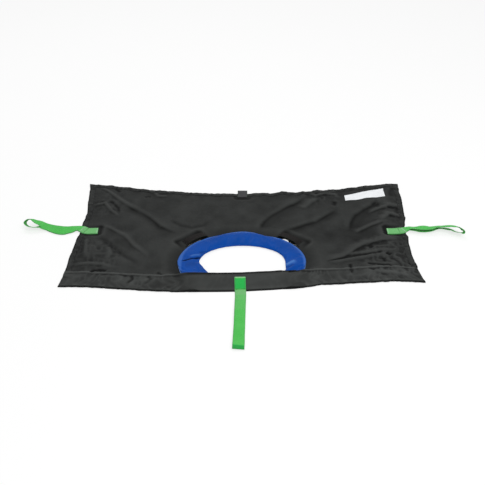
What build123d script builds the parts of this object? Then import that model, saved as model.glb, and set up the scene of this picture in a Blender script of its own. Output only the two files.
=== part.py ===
from build123d import *

import os
from math import atan2, cos, degrees, radians, sin, sqrt

# Transfer sheet with a padded opening. A nylon sheet lies flat, with a D-shaped hole in it.
# A padded vinyl ring rims the hole, a folded band along the front edge passes over the front
# of the ring, and webbing loops at the edges are pulled or lifted by hand.
#
# Millimetres. +X points right, +Y to the back edge and +Z up. The origin is the centre of the
# ring's opening, on the surface that the sheet lies on.

# ---- Driving dimensions ----

# Cloth
sheet_thickness = 1.0
corner_half_width = 410.0
side_bow = 14.0
front_bow = 29.0
back_edge_y = 300.5
back_bow = 51.5
hem_width = 14.0
hem_thickness = 0.8

# Opening, seen from above: a straight front, two front corners, two shoulders and a wide back arc
opening_half_width = 98.0
opening_half_depth = 62.5
front_corner_radius = 32.0
shoulder_radius = 55.0
shoulder_y = -7.5

# Padded ring
ring_width = 47.0
ring_height = 11.0
crown_radius = 8.0
cover_thickness = 0.6
welt_diameter = 2.4
ring_overlap = 6.0

# Front band
band_thickness = 1.6
band_overhang = 2.0

# Webbing
webbing_width = 25.0
webbing_thickness = 1.3
tail_ramp = 3.0
side_tail_length = 44.0
front_tail_length = 42.5
rear_tail_length = 18.0
side_loop_y = 130.0
side_loop_length = 145.0
front_loop_length = 189.0
rear_loop_length = 18.0

# Each loop leaves its tail level, then falls to the floor, and ends in an open eye
side_run = 7.0
side_fall = 24.0
front_run = 4.0
front_fall = 26.0
rear_run = 2.0
bend_radius = 5.0
side_eye_height = 12.0
side_eye_length = 45.0
front_eye_height = 6.0
front_eye_length = 30.0
rear_eye_height = 7.0

# Keepers beside the ring, with a slit through the sheet in front of each
keeper_length = 57.0
keeper_seat = 8.0
keeper_rise = 7.5
keeper_gap = 4.0
keeper_angle = 50.0
slit_length = 50.0
slit_width = 9.0
slit_gap = 2.0

# Label
label_length = 117.0
label_height = 31.0
label_thickness = 0.4
label_inset = 88.0
label_gap = 2.0

# Fits
fit_gap = 0.3
hinge_gap = 0.3


# ---- Sizes that follow ----


def sag(radius, half_chord):
    """Height of an arc above its chord."""
    return radius - sqrt(radius**2 - half_chord**2)


def arc_radius(half_chord, height):
    """Radius of the arc that rises by height over a chord."""
    return (half_chord**2 + height**2) / (2 * height)


# The shoulders of the opening, and the back arc that joins them
shoulder_x = opening_half_width - shoulder_radius
corner_x = opening_half_width - front_corner_radius
corner_y = -opening_half_depth + front_corner_radius
back_top = opening_half_depth - shoulder_radius
back_arc_y = (back_top**2 - shoulder_y**2 - shoulder_x**2) / (2 * (back_top - shoulder_y))
back_arc_radius = opening_half_depth - back_arc_y
shoulder_sweep = degrees(atan2(shoulder_y - back_arc_y, shoulder_x))

# The sheet's edges. The front edge clears the ring, its welt and the band's own fold.
front_radius = arc_radius(corner_half_width, front_bow)
back_radius = arc_radius(corner_half_width, back_bow)
front_clear = welt_diameter + fit_gap + band_thickness + sag(front_radius, corner_x)
front_edge_y = -(opening_half_depth + ring_width + front_clear)
band_width = ring_width + front_clear + band_overhang
front_corner_y = front_edge_y + front_bow
back_corner_y = back_edge_y + back_bow
side_middle_y = (front_corner_y + back_corner_y) / 2
side_radius = arc_radius((back_corner_y - front_corner_y) / 2, side_bow)
side_middle_x = corner_half_width - side_bow
side_loop_x = side_middle_x + sag(side_radius, side_loop_y - side_middle_y)

# Heights
ring_bottom = sheet_thickness
ring_top = ring_bottom + ring_height
foam_bottom = ring_bottom + cover_thickness
band_top = ring_top + band_thickness
tail_thickness = 2 * webbing_thickness
hem_top = sheet_thickness + hem_thickness

# Where the ring's outer edge comes out from under the band
ring_corner_radius = front_corner_radius + ring_width
band_edge_depth = corner_y - (front_edge_y + band_width)
ring_reach = corner_x + sqrt(ring_corner_radius**2 - band_edge_depth**2)
band_crest = ring_reach - crown_radius / 2
band_foot = ring_reach + ring_height


# ---- Plans, seen from above ----

with BuildSketch() as sheet_plan:
    with BuildLine():
        ThreePointArc(
            (-corner_half_width, front_corner_y), (0, front_edge_y), (corner_half_width, front_corner_y)
        )
        ThreePointArc(
            (corner_half_width, front_corner_y),
            (side_middle_x, side_middle_y),
            (corner_half_width, back_corner_y),
        )
        ThreePointArc(
            (corner_half_width, back_corner_y), (0, back_edge_y), (-corner_half_width, back_corner_y)
        )
        ThreePointArc(
            (-corner_half_width, back_corner_y),
            (-side_middle_x, side_middle_y),
            (-corner_half_width, front_corner_y),
        )
    make_face()

with BuildSketch() as back_strip:
    add(sheet_plan.sketch)
    with Locations((0, back_edge_y + back_radius)):
        Circle(back_radius + hem_width, mode=Mode.INTERSECT)

with BuildSketch() as band_strip:
    add(sheet_plan.sketch)
    with Locations((0, front_edge_y + front_radius)):
        Circle(front_radius - band_width, mode=Mode.SUBTRACT)

with BuildSketch() as fold_strip:
    add(sheet_plan.sketch)
    with Locations((0, front_edge_y + front_radius)):
        Circle(front_radius - band_thickness, mode=Mode.SUBTRACT)


def side_strip(side):
    """Plan of a side hem, between the front band and the back hem. side is -1 or 1."""
    with BuildSketch() as strip:
        add(sheet_plan.sketch)
        with Locations((side * (side_middle_x + side_radius), side_middle_y)):
            Circle(side_radius + hem_width, mode=Mode.INTERSECT)
        add(back_strip.sketch, mode=Mode.SUBTRACT)
        add(band_strip.sketch, mode=Mode.SUBTRACT)
    return strip.sketch


def opening_plan(distance):
    """Plan of the ring's opening, with its outline moved outwards by distance."""
    with BuildSketch() as plan:
        with BuildLine():
            Line((0, -opening_half_depth), (corner_x, -opening_half_depth))
            CenterArc((corner_x, corner_y), front_corner_radius, -90, 90)
            Line((opening_half_width, corner_y), (opening_half_width, shoulder_y))
            CenterArc((shoulder_x, shoulder_y), shoulder_radius, 0, shoulder_sweep)
            CenterArc((0, back_arc_y), back_arc_radius, shoulder_sweep, 90 - shoulder_sweep)
            mirror(about=Plane.YZ)
        make_face()
        if distance > 0:
            offset(amount=distance)
    return plan.sketch


def ring_plan(inset):
    """Plan of the padded ring, with both its edges moved into it by inset."""
    with BuildSketch() as plan:
        add(opening_plan(ring_width - inset))
        add(opening_plan(inset), mode=Mode.SUBTRACT)
    return plan.sketch


def keeper_plane(side, distance):
    """Plane beside the ring's shoulder: x runs along the ring's edge, y away from it."""
    along = (-side * sin(radians(keeper_angle)), cos(radians(keeper_angle)), 0)
    reach = shoulder_radius + ring_width + welt_diameter + distance
    x = side * (shoulder_x + reach * cos(radians(keeper_angle)))
    y = shoulder_y + reach * sin(radians(keeper_angle))
    return Plane(origin=(x, y, sheet_thickness), x_dir=along, z_dir=(0, 0, 1))


# ---- Cloth ----

with BuildPart() as sheet_panel:
    with BuildSketch():
        add(sheet_plan.sketch)
        add(opening_plan(ring_overlap), mode=Mode.SUBTRACT)
    extrude(amount=sheet_thickness)
    for side in (-1, 1):
        with BuildSketch(keeper_plane(side, slit_gap + slit_width / 2)):
            SlotOverall(slit_length, slit_width)
        extrude(amount=-sheet_thickness, mode=Mode.SUBTRACT)

with BuildPart() as back_hem:
    with BuildSketch(Plane.XY.offset(sheet_thickness)):
        add(back_strip.sketch)
    extrude(amount=hem_thickness)

with BuildPart() as left_hem:
    with BuildSketch(Plane.XY.offset(sheet_thickness)):
        add(side_strip(-1))
    extrude(amount=hem_thickness)

with BuildPart() as right_hem:
    with BuildSketch(Plane.XY.offset(sheet_thickness)):
        add(side_strip(1))
    extrude(amount=hem_thickness)

# The space under the band, seen from the front: the band lies on it
with BuildSketch(Plane.XZ) as band_bed:
    with BuildLine():
        Polyline(
            (-2 * corner_half_width, 0),
            (-2 * corner_half_width, sheet_thickness),
            (-band_foot, sheet_thickness),
            (-band_crest, ring_top),
            (band_crest, ring_top),
            (band_foot, sheet_thickness),
            (2 * corner_half_width, sheet_thickness),
            (2 * corner_half_width, 0),
            close=True,
        )
    make_face()

with BuildSketch(Plane.XZ) as band_section:
    add(band_bed.sketch_local)
    offset(amount=band_thickness)
    add(band_bed.sketch_local, mode=Mode.SUBTRACT)
    Rectangle(2 * corner_half_width, sheet_thickness, align=(Align.CENTER, Align.MIN), mode=Mode.SUBTRACT)

with BuildPart() as fold_wall:
    with BuildSketch(Plane.XY.offset(sheet_thickness)):
        add(fold_strip.sketch)
    extrude(amount=2 * ring_height)
    with BuildSketch(Plane.XZ):
        add(band_bed.sketch_local)
    extrude(amount=-2 * front_edge_y, both=True, mode=Mode.INTERSECT)

with BuildPart() as front_band:
    with BuildSketch(Plane.XY.offset(sheet_thickness)):
        add(band_strip.sketch)
    extrude(amount=2 * ring_height)
    with BuildSketch(Plane.XZ):
        add(band_section.sketch_local)
    extrude(amount=-2 * front_edge_y, both=True, mode=Mode.INTERSECT)
    add(fold_wall.part)

# ---- Padded ring ----

with BuildPart() as ring_cover_base:
    with BuildSketch(Plane.XY.offset(ring_bottom)):
        add(ring_plan(0))
    extrude(amount=cover_thickness)

with BuildPart() as ring_foam:
    with BuildSketch(Plane.XY.offset(foam_bottom)):
        add(ring_plan(cover_thickness))
    extrude(amount=ring_height - 2 * cover_thickness)
    fillet(ring_foam.faces().sort_by(Axis.Z)[-1].edges(), radius=crown_radius - cover_thickness)

with BuildPart() as ring_cover_top:
    with BuildSketch(Plane.XY.offset(foam_bottom)):
        add(ring_plan(0))
    extrude(amount=ring_height - cover_thickness)
    fillet(ring_cover_top.faces().sort_by(Axis.Z)[-1].edges(), radius=crown_radius)
    add(ring_foam.part, mode=Mode.SUBTRACT)

welt_radius = welt_diameter / 2
with BuildPart() as ring_welt:
    with BuildLine():
        add(opening_plan(ring_width + welt_radius).wire().moved(Location((0, 0, ring_bottom + welt_radius))))
    start_plane = Plane(
        origin=(0, -(opening_half_depth + ring_width + welt_radius), ring_bottom + welt_radius),
        z_dir=(1, 0, 0),
    )
    with BuildSketch(start_plane):
        Circle(welt_radius)
    sweep()


# ---- Keepers ----


def keeper(side):
    """Webbing strip beside the ring, sewn down at both ends and arched between them."""
    frame = keeper_plane(side, keeper_gap)
    section_plane = Plane(origin=frame.origin, x_dir=frame.x_dir, z_dir=frame.x_dir.cross(Vector(0, 0, 1)))
    end = keeper_length / 2
    foot = end - keeper_seat
    with BuildPart() as strip:
        with BuildSketch(section_plane):
            with BuildLine():
                for height in (0, webbing_thickness):
                    Line((-end, height), (-foot, height))
                    Spline(
                        (-foot, height), (0, keeper_rise + height), (foot, height), tangents=((1, 0), (1, 0))
                    )
                    Line((foot, height), (end, height))
                Line((-end, 0), (-end, webbing_thickness))
                Line((end, 0), (end, webbing_thickness))
            make_face()
        extrude(amount=side * webbing_width)
    return strip.part


left_keeper = keeper(-1)
right_keeper = keeper(1)

# ---- Loops ----


def outward_plane(x, y, x_dir):
    """Plane at a sheet edge: its x points away from the sheet and its y is up."""
    return Plane(origin=(x, y, 0), x_dir=x_dir, z_dir=Vector(x_dir).cross(Vector(0, 0, 1)))


right_edge = outward_plane(side_loop_x, side_loop_y, (1, 0, 0))
left_edge = outward_plane(-side_loop_x, side_loop_y, (-1, 0, 0))
front_edge = outward_plane(0, front_edge_y, (0, -1, 0))
rear_edge = outward_plane(0, back_edge_y, (0, 1, 0))


def hemmed_tail(plane, length):
    """Doubled webbing sewn on the sheet, which steps up over the hem and stops at the edge."""
    with BuildPart() as tail:
        with BuildSketch(plane):
            with BuildLine():
                low = Polyline(
                    (-length, sheet_thickness),
                    (-hem_width - tail_ramp, sheet_thickness),
                    (-hem_width, hem_top),
                    (0, hem_top),
                )
                high = Polyline(
                    (-length, sheet_thickness + tail_thickness),
                    (-hem_width - tail_ramp, sheet_thickness + tail_thickness),
                    (-hem_width, hem_top + tail_thickness),
                    (0, hem_top + tail_thickness),
                )
                Line(low @ 0, high @ 0)
                Line(low @ 1, high @ 1)
            make_face()
        extrude(amount=webbing_width / 2, both=True)
    return tail.part


def pull_loop(plane, tail_top, length, run, fall, eye_height, eye_length):
    """Doubled webbing that turns about an axis over the sheet's edge and ends in an open eye.

    It runs level, falls to the floor over the length fall, and lies on the floor up to the eye.
    Where fall is 0 the eye starts at the end of the level run.
    """
    axis_x = hinge_gap + webbing_thickness
    axis_z = tail_top + hinge_gap + webbing_thickness
    tip_radius = eye_height / 2 + webbing_thickness
    route = [(axis_x, axis_z), (axis_x + run, axis_z)]
    if fall > 0:
        route.append((axis_x + run + fall, webbing_thickness))
        route.append((length - eye_length, webbing_thickness))
    with BuildLine(mode=Mode.PRIVATE) as line:
        if fall > 0:
            FilletPolyline(*route, radius=bend_radius)
        else:
            Line(*route)
    with BuildSketch(mode=Mode.PRIVATE) as eye:
        with Locations(route[-1]):
            Circle(webbing_thickness)
        with Locations((length - tip_radius, tip_radius)):
            Circle(tip_radius)
        make_hull()
    with BuildSketch(mode=Mode.PRIVATE) as eye_hole:
        with Locations(route[-1]):
            Circle(hinge_gap)
        with Locations((length - tip_radius, tip_radius)):
            Circle(eye_height / 2)
        make_hull()
    with BuildPart() as loop:
        with BuildSketch(plane):
            SlotArc(line.wire(), tail_thickness)
            add(eye.sketch)
            add(eye_hole.sketch, mode=Mode.SUBTRACT)
        extrude(amount=webbing_width / 2, both=True)
    return loop.part


left_tail = hemmed_tail(left_edge, side_tail_length)
right_tail = hemmed_tail(right_edge, side_tail_length)
rear_tail = hemmed_tail(rear_edge, rear_tail_length)

with BuildPart() as front_tail:
    with BuildSketch(Plane.XY.offset(band_top)):
        with Locations((0, front_edge_y)):
            Rectangle(webbing_width, front_tail_length, align=(Align.CENTER, Align.MIN))
    extrude(amount=tail_thickness)

hemmed_tail_top = hem_top + tail_thickness
front_tail_top = band_top + tail_thickness

left_loop = pull_loop(
    left_edge, hemmed_tail_top, side_loop_length, side_run, side_fall, side_eye_height, side_eye_length
)
right_loop = pull_loop(
    right_edge, hemmed_tail_top, side_loop_length, side_run, side_fall, side_eye_height, side_eye_length
)
front_loop = pull_loop(
    front_edge, front_tail_top, front_loop_length, front_run, front_fall, front_eye_height, front_eye_length
)
rear_loop = pull_loop(rear_edge, hemmed_tail_top, rear_loop_length, rear_run, 0, rear_eye_height, 0)

# ---- Label, parallel to the back hem ----

label_x = corner_half_width - label_inset
label_reach = back_radius + hem_width + label_gap + label_height / 2
label_y = back_edge_y + back_radius - sqrt(label_reach**2 - label_x**2)
label_plane = Plane(
    origin=(label_x, label_y, sheet_thickness),
    x_dir=(back_edge_y + back_radius - label_y, label_x, 0),
    z_dir=(0, 0, 1),
)
with BuildPart() as label:
    with BuildSketch(label_plane):
        Rectangle(label_length, label_height)
    extrude(amount=label_thickness)

# ---- Files, one for each piece ----

pieces = {
    "sheet_panel": sheet_panel.part,
    "left_hem": left_hem.part,
    "right_hem": right_hem.part,
    "back_hem": back_hem.part,
    "front_band": front_band.part,
    "ring_foam": ring_foam.part,
    "ring_cover_top": ring_cover_top.part,
    "ring_cover_base": ring_cover_base.part,
    "ring_welt": ring_welt.part,
    "left_keeper": left_keeper,
    "right_keeper": right_keeper,
    "left_tail": left_tail,
    "right_tail": right_tail,
    "front_tail": front_tail.part,
    "rear_tail": rear_tail,
    "left_loop": left_loop,
    "right_loop": right_loop,
    "front_loop": front_loop,
    "rear_loop": rear_loop,
    "label": label.part,
}

os.makedirs("parts", exist_ok=True)
for name, piece in pieces.items():
    piece.label = name
    export_step(piece, f"parts/{name}.step")
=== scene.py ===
import math

import bpy
import numpy as np
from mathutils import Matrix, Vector


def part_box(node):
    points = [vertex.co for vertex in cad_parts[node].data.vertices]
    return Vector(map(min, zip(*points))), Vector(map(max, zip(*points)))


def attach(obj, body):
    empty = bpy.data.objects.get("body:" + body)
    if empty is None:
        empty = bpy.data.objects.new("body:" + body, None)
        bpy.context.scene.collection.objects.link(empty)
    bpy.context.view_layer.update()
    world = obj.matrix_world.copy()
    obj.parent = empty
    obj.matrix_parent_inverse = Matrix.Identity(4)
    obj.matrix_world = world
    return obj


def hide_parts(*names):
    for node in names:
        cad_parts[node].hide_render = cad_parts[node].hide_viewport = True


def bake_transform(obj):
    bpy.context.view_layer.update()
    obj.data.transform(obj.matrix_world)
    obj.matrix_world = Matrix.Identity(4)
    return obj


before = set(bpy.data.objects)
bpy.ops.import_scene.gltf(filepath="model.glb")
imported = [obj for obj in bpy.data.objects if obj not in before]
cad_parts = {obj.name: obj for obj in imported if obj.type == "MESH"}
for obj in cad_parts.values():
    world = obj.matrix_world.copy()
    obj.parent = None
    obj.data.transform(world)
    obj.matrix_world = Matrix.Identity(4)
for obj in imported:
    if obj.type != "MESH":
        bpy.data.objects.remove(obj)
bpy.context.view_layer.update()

bl_info = {
    "name": "Transfer sheet",
    "version": (1, 0, 0),
    "blender": (4, 5, 0),
    "location": "3D Viewport > Sidebar > Transfer sheet",
    "description": "Builds a nylon transfer sheet with a padded opening and webbing pull loops",
    "category": "Add Mesh",
}

MM = 0.001

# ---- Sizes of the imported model, in metres ----

PANEL_LOW, PANEL_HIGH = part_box("sheet_panel")
RING_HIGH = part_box("ring_cover_top")[1]
LEFT_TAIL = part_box("left_tail")
RIGHT_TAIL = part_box("right_tail")
FRONT_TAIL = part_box("front_tail")
REAR_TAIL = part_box("rear_tail")

HALF_WIDTH = PANEL_HIGH.x
FRONT_Y = PANEL_LOW.y
BACK_CORNER_Y = PANEL_HIGH.y
FRONT_BOW = 0.029
BACK_BOW = 0.0515
SIDE_BOW = 0.014
BACK_Y = BACK_CORNER_Y - BACK_BOW
SIDE_MIDDLE_Y = (FRONT_Y + FRONT_BOW + BACK_CORNER_Y) / 2
HALF_DEPTH = (BACK_CORNER_Y - FRONT_Y - FRONT_BOW) / 2

RING_WIDTH = 0.047
RING_BOTTOM = 0.001
RING_TOP = RING_HIGH.z
OPENING_HALF_WIDTH = RING_HIGH.x - RING_WIDTH
OPENING_HALF_DEPTH = RING_HIGH.y - RING_WIDTH
FRONT_CORNER_RADIUS = 0.032
SHOULDER_RADIUS = 0.055
SHOULDER_Y = -0.0075

# The ring's seam is this far above its underside, and the welt's middle this high.
SEAM_Z = 0.0042
WELT_RADIUS = 0.0012
WELT_Z = 0.0036

PANEL_TOP = 0.001
CLOTH_THICKNESS = 0.0007
RING_OVERLAP = 0.006
EDGE_INSET = 0.0014
HEM_WIDTH = 0.014
HEM_TOP = 0.0018
HEM_SEAM = 0.0112
BAND_WIDTH = 0.0540
BAND_THICKNESS = 0.0016
LIP = 0.0024

KEEPER_ANGLE = math.radians(50)
KEEPER_LEAN = math.radians(4)
KEEPER_LENGTH = 0.057
KEEPER_REACH = SHOULDER_RADIUS + RING_WIDTH + 0.0189
KEEPER_SHIFT = 0.0100
BLACK_WEBBING_THICKNESS = 0.0013
SLIT_LENGTH = 0.050
SLIT_WIDTH = 0.009
SLIT_REACH = SHOULDER_RADIUS + RING_WIDTH + 2 * WELT_RADIUS + 0.0065

SEAM_THREAD = 0.0005
TACK_THREAD = 0.0006
LABEL_THREAD = 0.0003
TACK_HALF = 0.0105
LOOP_SEAM_PITCH = 0.0032

# ---- Detail of the meshes: rows, points round a section, points at a time, and degrees ----

OUTLINE_POINTS, RIM_POINTS = 300, 1200
CHUNK = 20000
RING_ROUND, RING_ALONG = 30, 204
PIPING_ROUND, PIPING_ALONG = 10, 260
BAND_ROWS = 340
SIDE_HEM_ROWS, BACK_HEM_ROWS = 150, 300
LONG_STRAP_ROWS, KEEPER_ROWS, REAR_LOOP_ROWS = 260, 80, 70
STRAP_SMOOTH_ANGLE = 40

# ---- Colours that are not settings ----

# The rear loop is black webbing painted grey, a painted sheen on its upper face; its patches are painted
# paler still.
REAR_WEBBING_PAINTED_SHEEN = (0.055, 0.055, 0.058, 1)
REAR_WEBBING_PAINTED_SHEEN_EDGE = (0.12, 0.12, 0.125, 1)
KEEPER_THREAD_COLOUR = (0.012, 0.012, 0.012, 1)
# Painted highlight along the ring's outer rim.
PAINTED_RIM_HIGHLIGHT_VINYL = (0.045, 0.14, 0.46, 1)
# Painted highlight on the crests of the ring's creases.
PAINTED_CREASE_HIGHLIGHT_VINYL = (0.07, 0.19, 0.50, 1)

# ---- Folds of the cloth: where each runs, its height, and its spread to the left and the right (mm) ----

FOLDS = [
    ([(-389, 336), (-362, 312), (-332, 283), (-302, 252), (-270, 220), (-236, 184)], 1.7, 8, 3.0),
    ([(-300, 246), (-252, 201), (-230, 172), (-206, 141), (-186, 127), (-150, 100)], -3.4, 6, 20),
    ([(-388, 242), (-354, 249), (-333, 216), (-309, 188)], 2.2, 4, 3.6),
    ([(-347, 262), (-335, 254), (-316, 232), (-311, 201)], -1.8, 4, 6),
    ([(-350, 156), (-318, 130), (-284, 98), (-255, 55), (-215, 8)], 1.5, 9, 3.0),
    ([(-348, 105), (-330, 84), (-301, 48), (-274, 17), (-229, -22)], -1.5, 10, 8),
    ([(-345, -46), (-339, -36), (-326, -33), (-304, -36)], -4.6, 4, 4),
    ([(-388, -12), (-322, -13), (-285, -30)], 1.6, 6, 3.6),
    ([(-372, 95), (-364, 7)], 1.5, 6, 4),
    ([(-318, 60), (-308, 30), (-312, 2)], 1.2, 4, 7),
    ([(-183, 172), (-151, 144), (-126, 133), (-95, 147), (-75, 170)], -1.2, 8, 8),
    ([(-233, 309), (-219, 289), (-192, 285)], 1.8, 5, 3.6),
    ([(-337, 323), (-319, 302)], -1.8, 5, 5),
    ([(-236, 287), (-256, 279)], -1.2, 5, 5),
    ([(-280, -52), (-258, -62)], -1.4, 4, 4),
    ([(-251, -56), (-246, -70), (-258, -90)], -1.6, 4, 4),
    ([(-217, -58), (-207, -70), (-219, -90)], -1.6, 4, 4),
    ([(-196, -43), (-180, -58)], -1.4, 4, 4),
    ([(38, 116), (56, 161), (82, 195), (108, 222), (135, 243), (178, 290)], -4.2, 8, 28),
    ([(100, 122), (125, 133), (154, 149), (186, 161), (210, 184), (246, 232)], -3.6, 7, 22),
    ([(164, 307), (189, 286), (216, 299), (242, 292), (250, 270)], 2.4, 5, 4),
    ([(240, 263), (233, 238)], -2.2, 5, 7),
    ([(150, 222), (174, 255), (203, 278)], 1.8, 14, 6),
    ([(346, 268), (326, 237), (304, 216), (286, 195), (273, 161), (258, 108)], -4.4, 22, 8),
    ([(268, 112), (304, 136), (338, 164), (355, 156)], 1.8, 10, 4),
    ([(305, 205), (337, 225), (365, 240), (404, 234)], 2.4, 12, 4),
    ([(355, 232), (379, 229), (382, 211)], -2.4, 5, 5),
    ([(334, 170), (359, 199), (402, 180)], 2.2, 10, 4),
    ([(184, -13), (230, 12), (262, 37), (295, 68), (327, 84), (391, 96)], 2.6, 18, 4),
    ([(193, -20), (241, -4), (288, 10), (346, 30)], 2.2, 4, 10),
    ([(236, 17), (263, 22), (293, 27), (321, 37), (348, 49)], 1.8, 9, 4),
    ([(299, 62), (311, 48)], -2.2, 6, 6),
    ([(338, 29), (351, 20)], -3.2, 5, 5),
    ([(334, 6), (330, -19)], -2.2, 4, 5),
    ([(283, -26), (306, -28), (334, -33), (352, -44)], -5.0, 4, 4),
    ([(248, -28), (247, -74)], -2.2, 3.5, 5),
    ([(289, -48), (303, -58)], -1.6, 4, 4),
    ([(150, -24), (149, -44)], -1.6, 4, 4),
    ([(393, 330), (376, 280)], -2.6, 6, 6),
    ([(352, 20), (398, -58)], 1.4, 8, 5),
    ([(300, -60), (395, -72)], 1.2, 6, 4),
]

# How much higher than listed the folds stand, and how much deeper the grooves lie.
FOLD_GAIN = 1.3
GROOVE_GAIN = 1.1

# ---- Crumpled places: strength, where the crumples end, where they are full, and the middle (mm) ----

CRUMPLES = [
    (1.0, 130, 40, 365, 10), (0.6, 90, 20, 365, 225), (0.4, 80, 20, -360, 240), (0.6, 110, 20, -350, 20),
    (0.6, 60, 15, 210, 285),
]

# ---- Rises of the back edge: place along it, half length and height (mm) ----

BACK_RIPPLES = [
    (-352, 14, 1.6), (-305, 12, 2.0), (-262, 11, 1.4), (-222, 13, 2.2), (-168, 16, 1.2),
    (-96, 30, 1.0), (58, 12, 1.6), (104, 12, 3.4), (132, 8, 1.6), (158, 8, 2.4),
    (192, 13, 3.2), (236, 14, 3.0), (282, 15, 2.0), (330, 18, 1.8), (384, 14, 1.6),
]

# ---- How far the cut edges stand out from their arcs: place along the edge and distance (mm) ----

LEFT_EDGE = [
    (-120, 0), (-98, 0), (-55, 2), (7, -3), (90, -3), (110, -1), (150, 0), (162, 0), (175, 2), (205, 5),
    (232, 3.7), (257, 2.4), (281, 2.1), (307, 3), (352, 3),
]
RIGHT_EDGE = [
    (-120, 0), (-83, -2), (-64, -5.4), (-45, -7.5), (-26, -2), (-7, -4), (13, -2.7), (33, -2.7), (54, -0.5),
    (75, 0.4), (96, 4), (110, 5), (140, 4), (162, 6), (185, 11), (208, 10), (232, 11), (257, 12),
    (281, 10.5), (307, 8), (352, 5),
]
BACK_EDGE = [
    (-410, 0), (-386, 2), (-358, 3.5), (-295, 3), (-249, 2), (-227, 0.5), (-206, 3), (-142, 1.5), (-100, 0),
    (-37, 1.5), (32, 3), (53, 3), (74, -0.5), (95, 4.3), (116, 7), (137, 1), (158, 2.8), (180, 3), (201, 5),
    (222, 2.5), (244, 1), (265, 5.5), (287, 5), (309, 9), (331, 8), (375, 8), (397, 4), (410, 1),
]
FRONT_EDGE = [
    (-411, -14), (-395, -11), (-381, -8), (-336, -5), (-247, -4), (-180, -5), (-136, -4), (-92, -1), (0, 2),
    (22, 4), (66, 7), (88, 9), (110, 9), (133, 11), (155, 15), (178, 20), (200, 18), (245, 20), (290, 19),
    (335, 18), (357, 15), (380, 11), (411, 3),
]


# ---- Values and lines ----


def smooth_step(low, high, value):
    """0 below low, 1 above high, and a smooth rise between them."""
    share = np.clip((np.asarray(value, float) - low) / (high - low), 0, 1)
    return share * share * (3 - 2 * share)


def bell(value, middle, spread, power=2):
    """1 at the middle and 0 far from it. A higher power gives a flatter top."""
    return np.exp(-(((value - middle) / spread) ** power))


def table_value(table, place):
    """What a table of places and values gives at a place between them."""
    return np.interp(place, *np.array(table, float).T)


def unit(rows):
    """The rows as directions of length 1."""
    return rows / np.linalg.norm(rows, axis=1)[:, None]


def run_along(line):
    """How far along a line of points each of them lies."""
    return np.concatenate([[0], np.cumsum(np.linalg.norm(np.diff(line, axis=0), axis=1))])


def rows_at(at, run, rows):
    """The columns of the rows, which lie at those runs, at other places of the run."""
    return np.stack([np.interp(at, run, rows[:, k]) for k in range(rows.shape[1])], -1)


def swept(line, away, distances):
    """Places beside a line: a row of them, at those distances, for each of its points."""
    return line[:, None, :] + distances[None, :, None] * away[:, None, :]


def raised(flat, height):
    """Places on the floor, each lifted to its height."""
    return np.concatenate([flat, np.broadcast_to(height, flat.shape[:-1])[..., None]], -1)


# ---- Smooth repeatable variation ----


def lattice(column, row, seed):
    """A number from -1 to 1 for each point of a lattice."""
    mixed = (column * 374761393 + row * 668265263 + seed * 974634777) & 0xFFFFFFFF
    mixed = ((mixed ^ (mixed >> 13)) * 1274126177) & 0xFFFFFFFF
    return ((mixed ^ (mixed >> 16)) & 0xFFFF) / 32767.5 - 1


def variation(x, y, seed=0):
    """Smooth noise from -1 to 1, one wave about two units long."""
    x, y = np.broadcast_arrays(np.asarray(x, float), np.asarray(y, float))
    column, row = np.floor(x).astype(np.int64), np.floor(y).astype(np.int64)
    across, up = x - column, y - row
    across, up = across * across * (3 - 2 * across), up * up * (3 - 2 * up)
    near = lattice(column, row, seed) * (1 - across) + lattice(column + 1, row, seed) * across
    far = lattice(column, row + 1, seed) * (1 - across) + lattice(column + 1, row + 1, seed) * across
    return near * (1 - up) + far * up


# ---- Outlines, seen from above ----


def arc_rise(along, half_chord, rise):
    """Height of a shallow arc over the level of its middle."""
    radius = (half_chord**2 + rise**2) / (2 * rise)
    return radius - np.sqrt(radius**2 - np.asarray(along, float) ** 2)


def front_edge(x):
    return FRONT_Y + arc_rise(x, HALF_WIDTH, FRONT_BOW)


def back_edge(x):
    return BACK_Y + arc_rise(x, HALF_WIDTH, BACK_BOW)


def side_edge(y):
    return HALF_WIDTH - SIDE_BOW + arc_rise(np.asarray(y, float) - SIDE_MIDDLE_Y, HALF_DEPTH, SIDE_BOW)


def opening_outline(count):
    """Points round the D-shaped opening from its front middle, and the direction out of it at each."""
    corner = np.array((OPENING_HALF_WIDTH - FRONT_CORNER_RADIUS, FRONT_CORNER_RADIUS - OPENING_HALF_DEPTH))
    shoulder = np.array((OPENING_HALF_WIDTH - SHOULDER_RADIUS, SHOULDER_Y))
    top = OPENING_HALF_DEPTH - SHOULDER_RADIUS
    back_y = (top**2 - shoulder[1] ** 2 - shoulder[0] ** 2) / (2 * (top - shoulder[1]))
    sweep = math.atan2(shoulder[1] - back_y, shoulder[0])
    points, normals = [np.array([[0, -OPENING_HALF_DEPTH]])], [np.array([[0.0, -1.0]])]
    for centre, radius, start, end in (
        (corner, FRONT_CORNER_RADIUS, -math.pi / 2, 0),
        (shoulder, SHOULDER_RADIUS, 0, sweep),
        (np.array((0, back_y)), OPENING_HALF_DEPTH - back_y, sweep, math.pi / 2),
    ):
        turn = np.linspace(start, end, 80)
        facing = np.stack([np.cos(turn), np.sin(turn)], 1)
        points.append(centre + radius * facing)
        normals.append(facing)
    points, normals = np.concatenate(points), np.concatenate(normals)
    points = np.concatenate([points, points[::-1] * (-1, 1)])
    normals = np.concatenate([normals, normals[::-1] * (-1, 1)])
    run = np.concatenate([[0], np.cumsum(np.hypot(*np.diff(points, axis=0).T))])
    keep = np.concatenate([[True], np.diff(run) > 1e-9])
    points, normals, run = points[keep], normals[keep], run[keep]
    at = np.linspace(0, run[-1], count, endpoint=False)
    return rows_at(at, run, points), unit(rows_at(at, run, normals))


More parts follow.
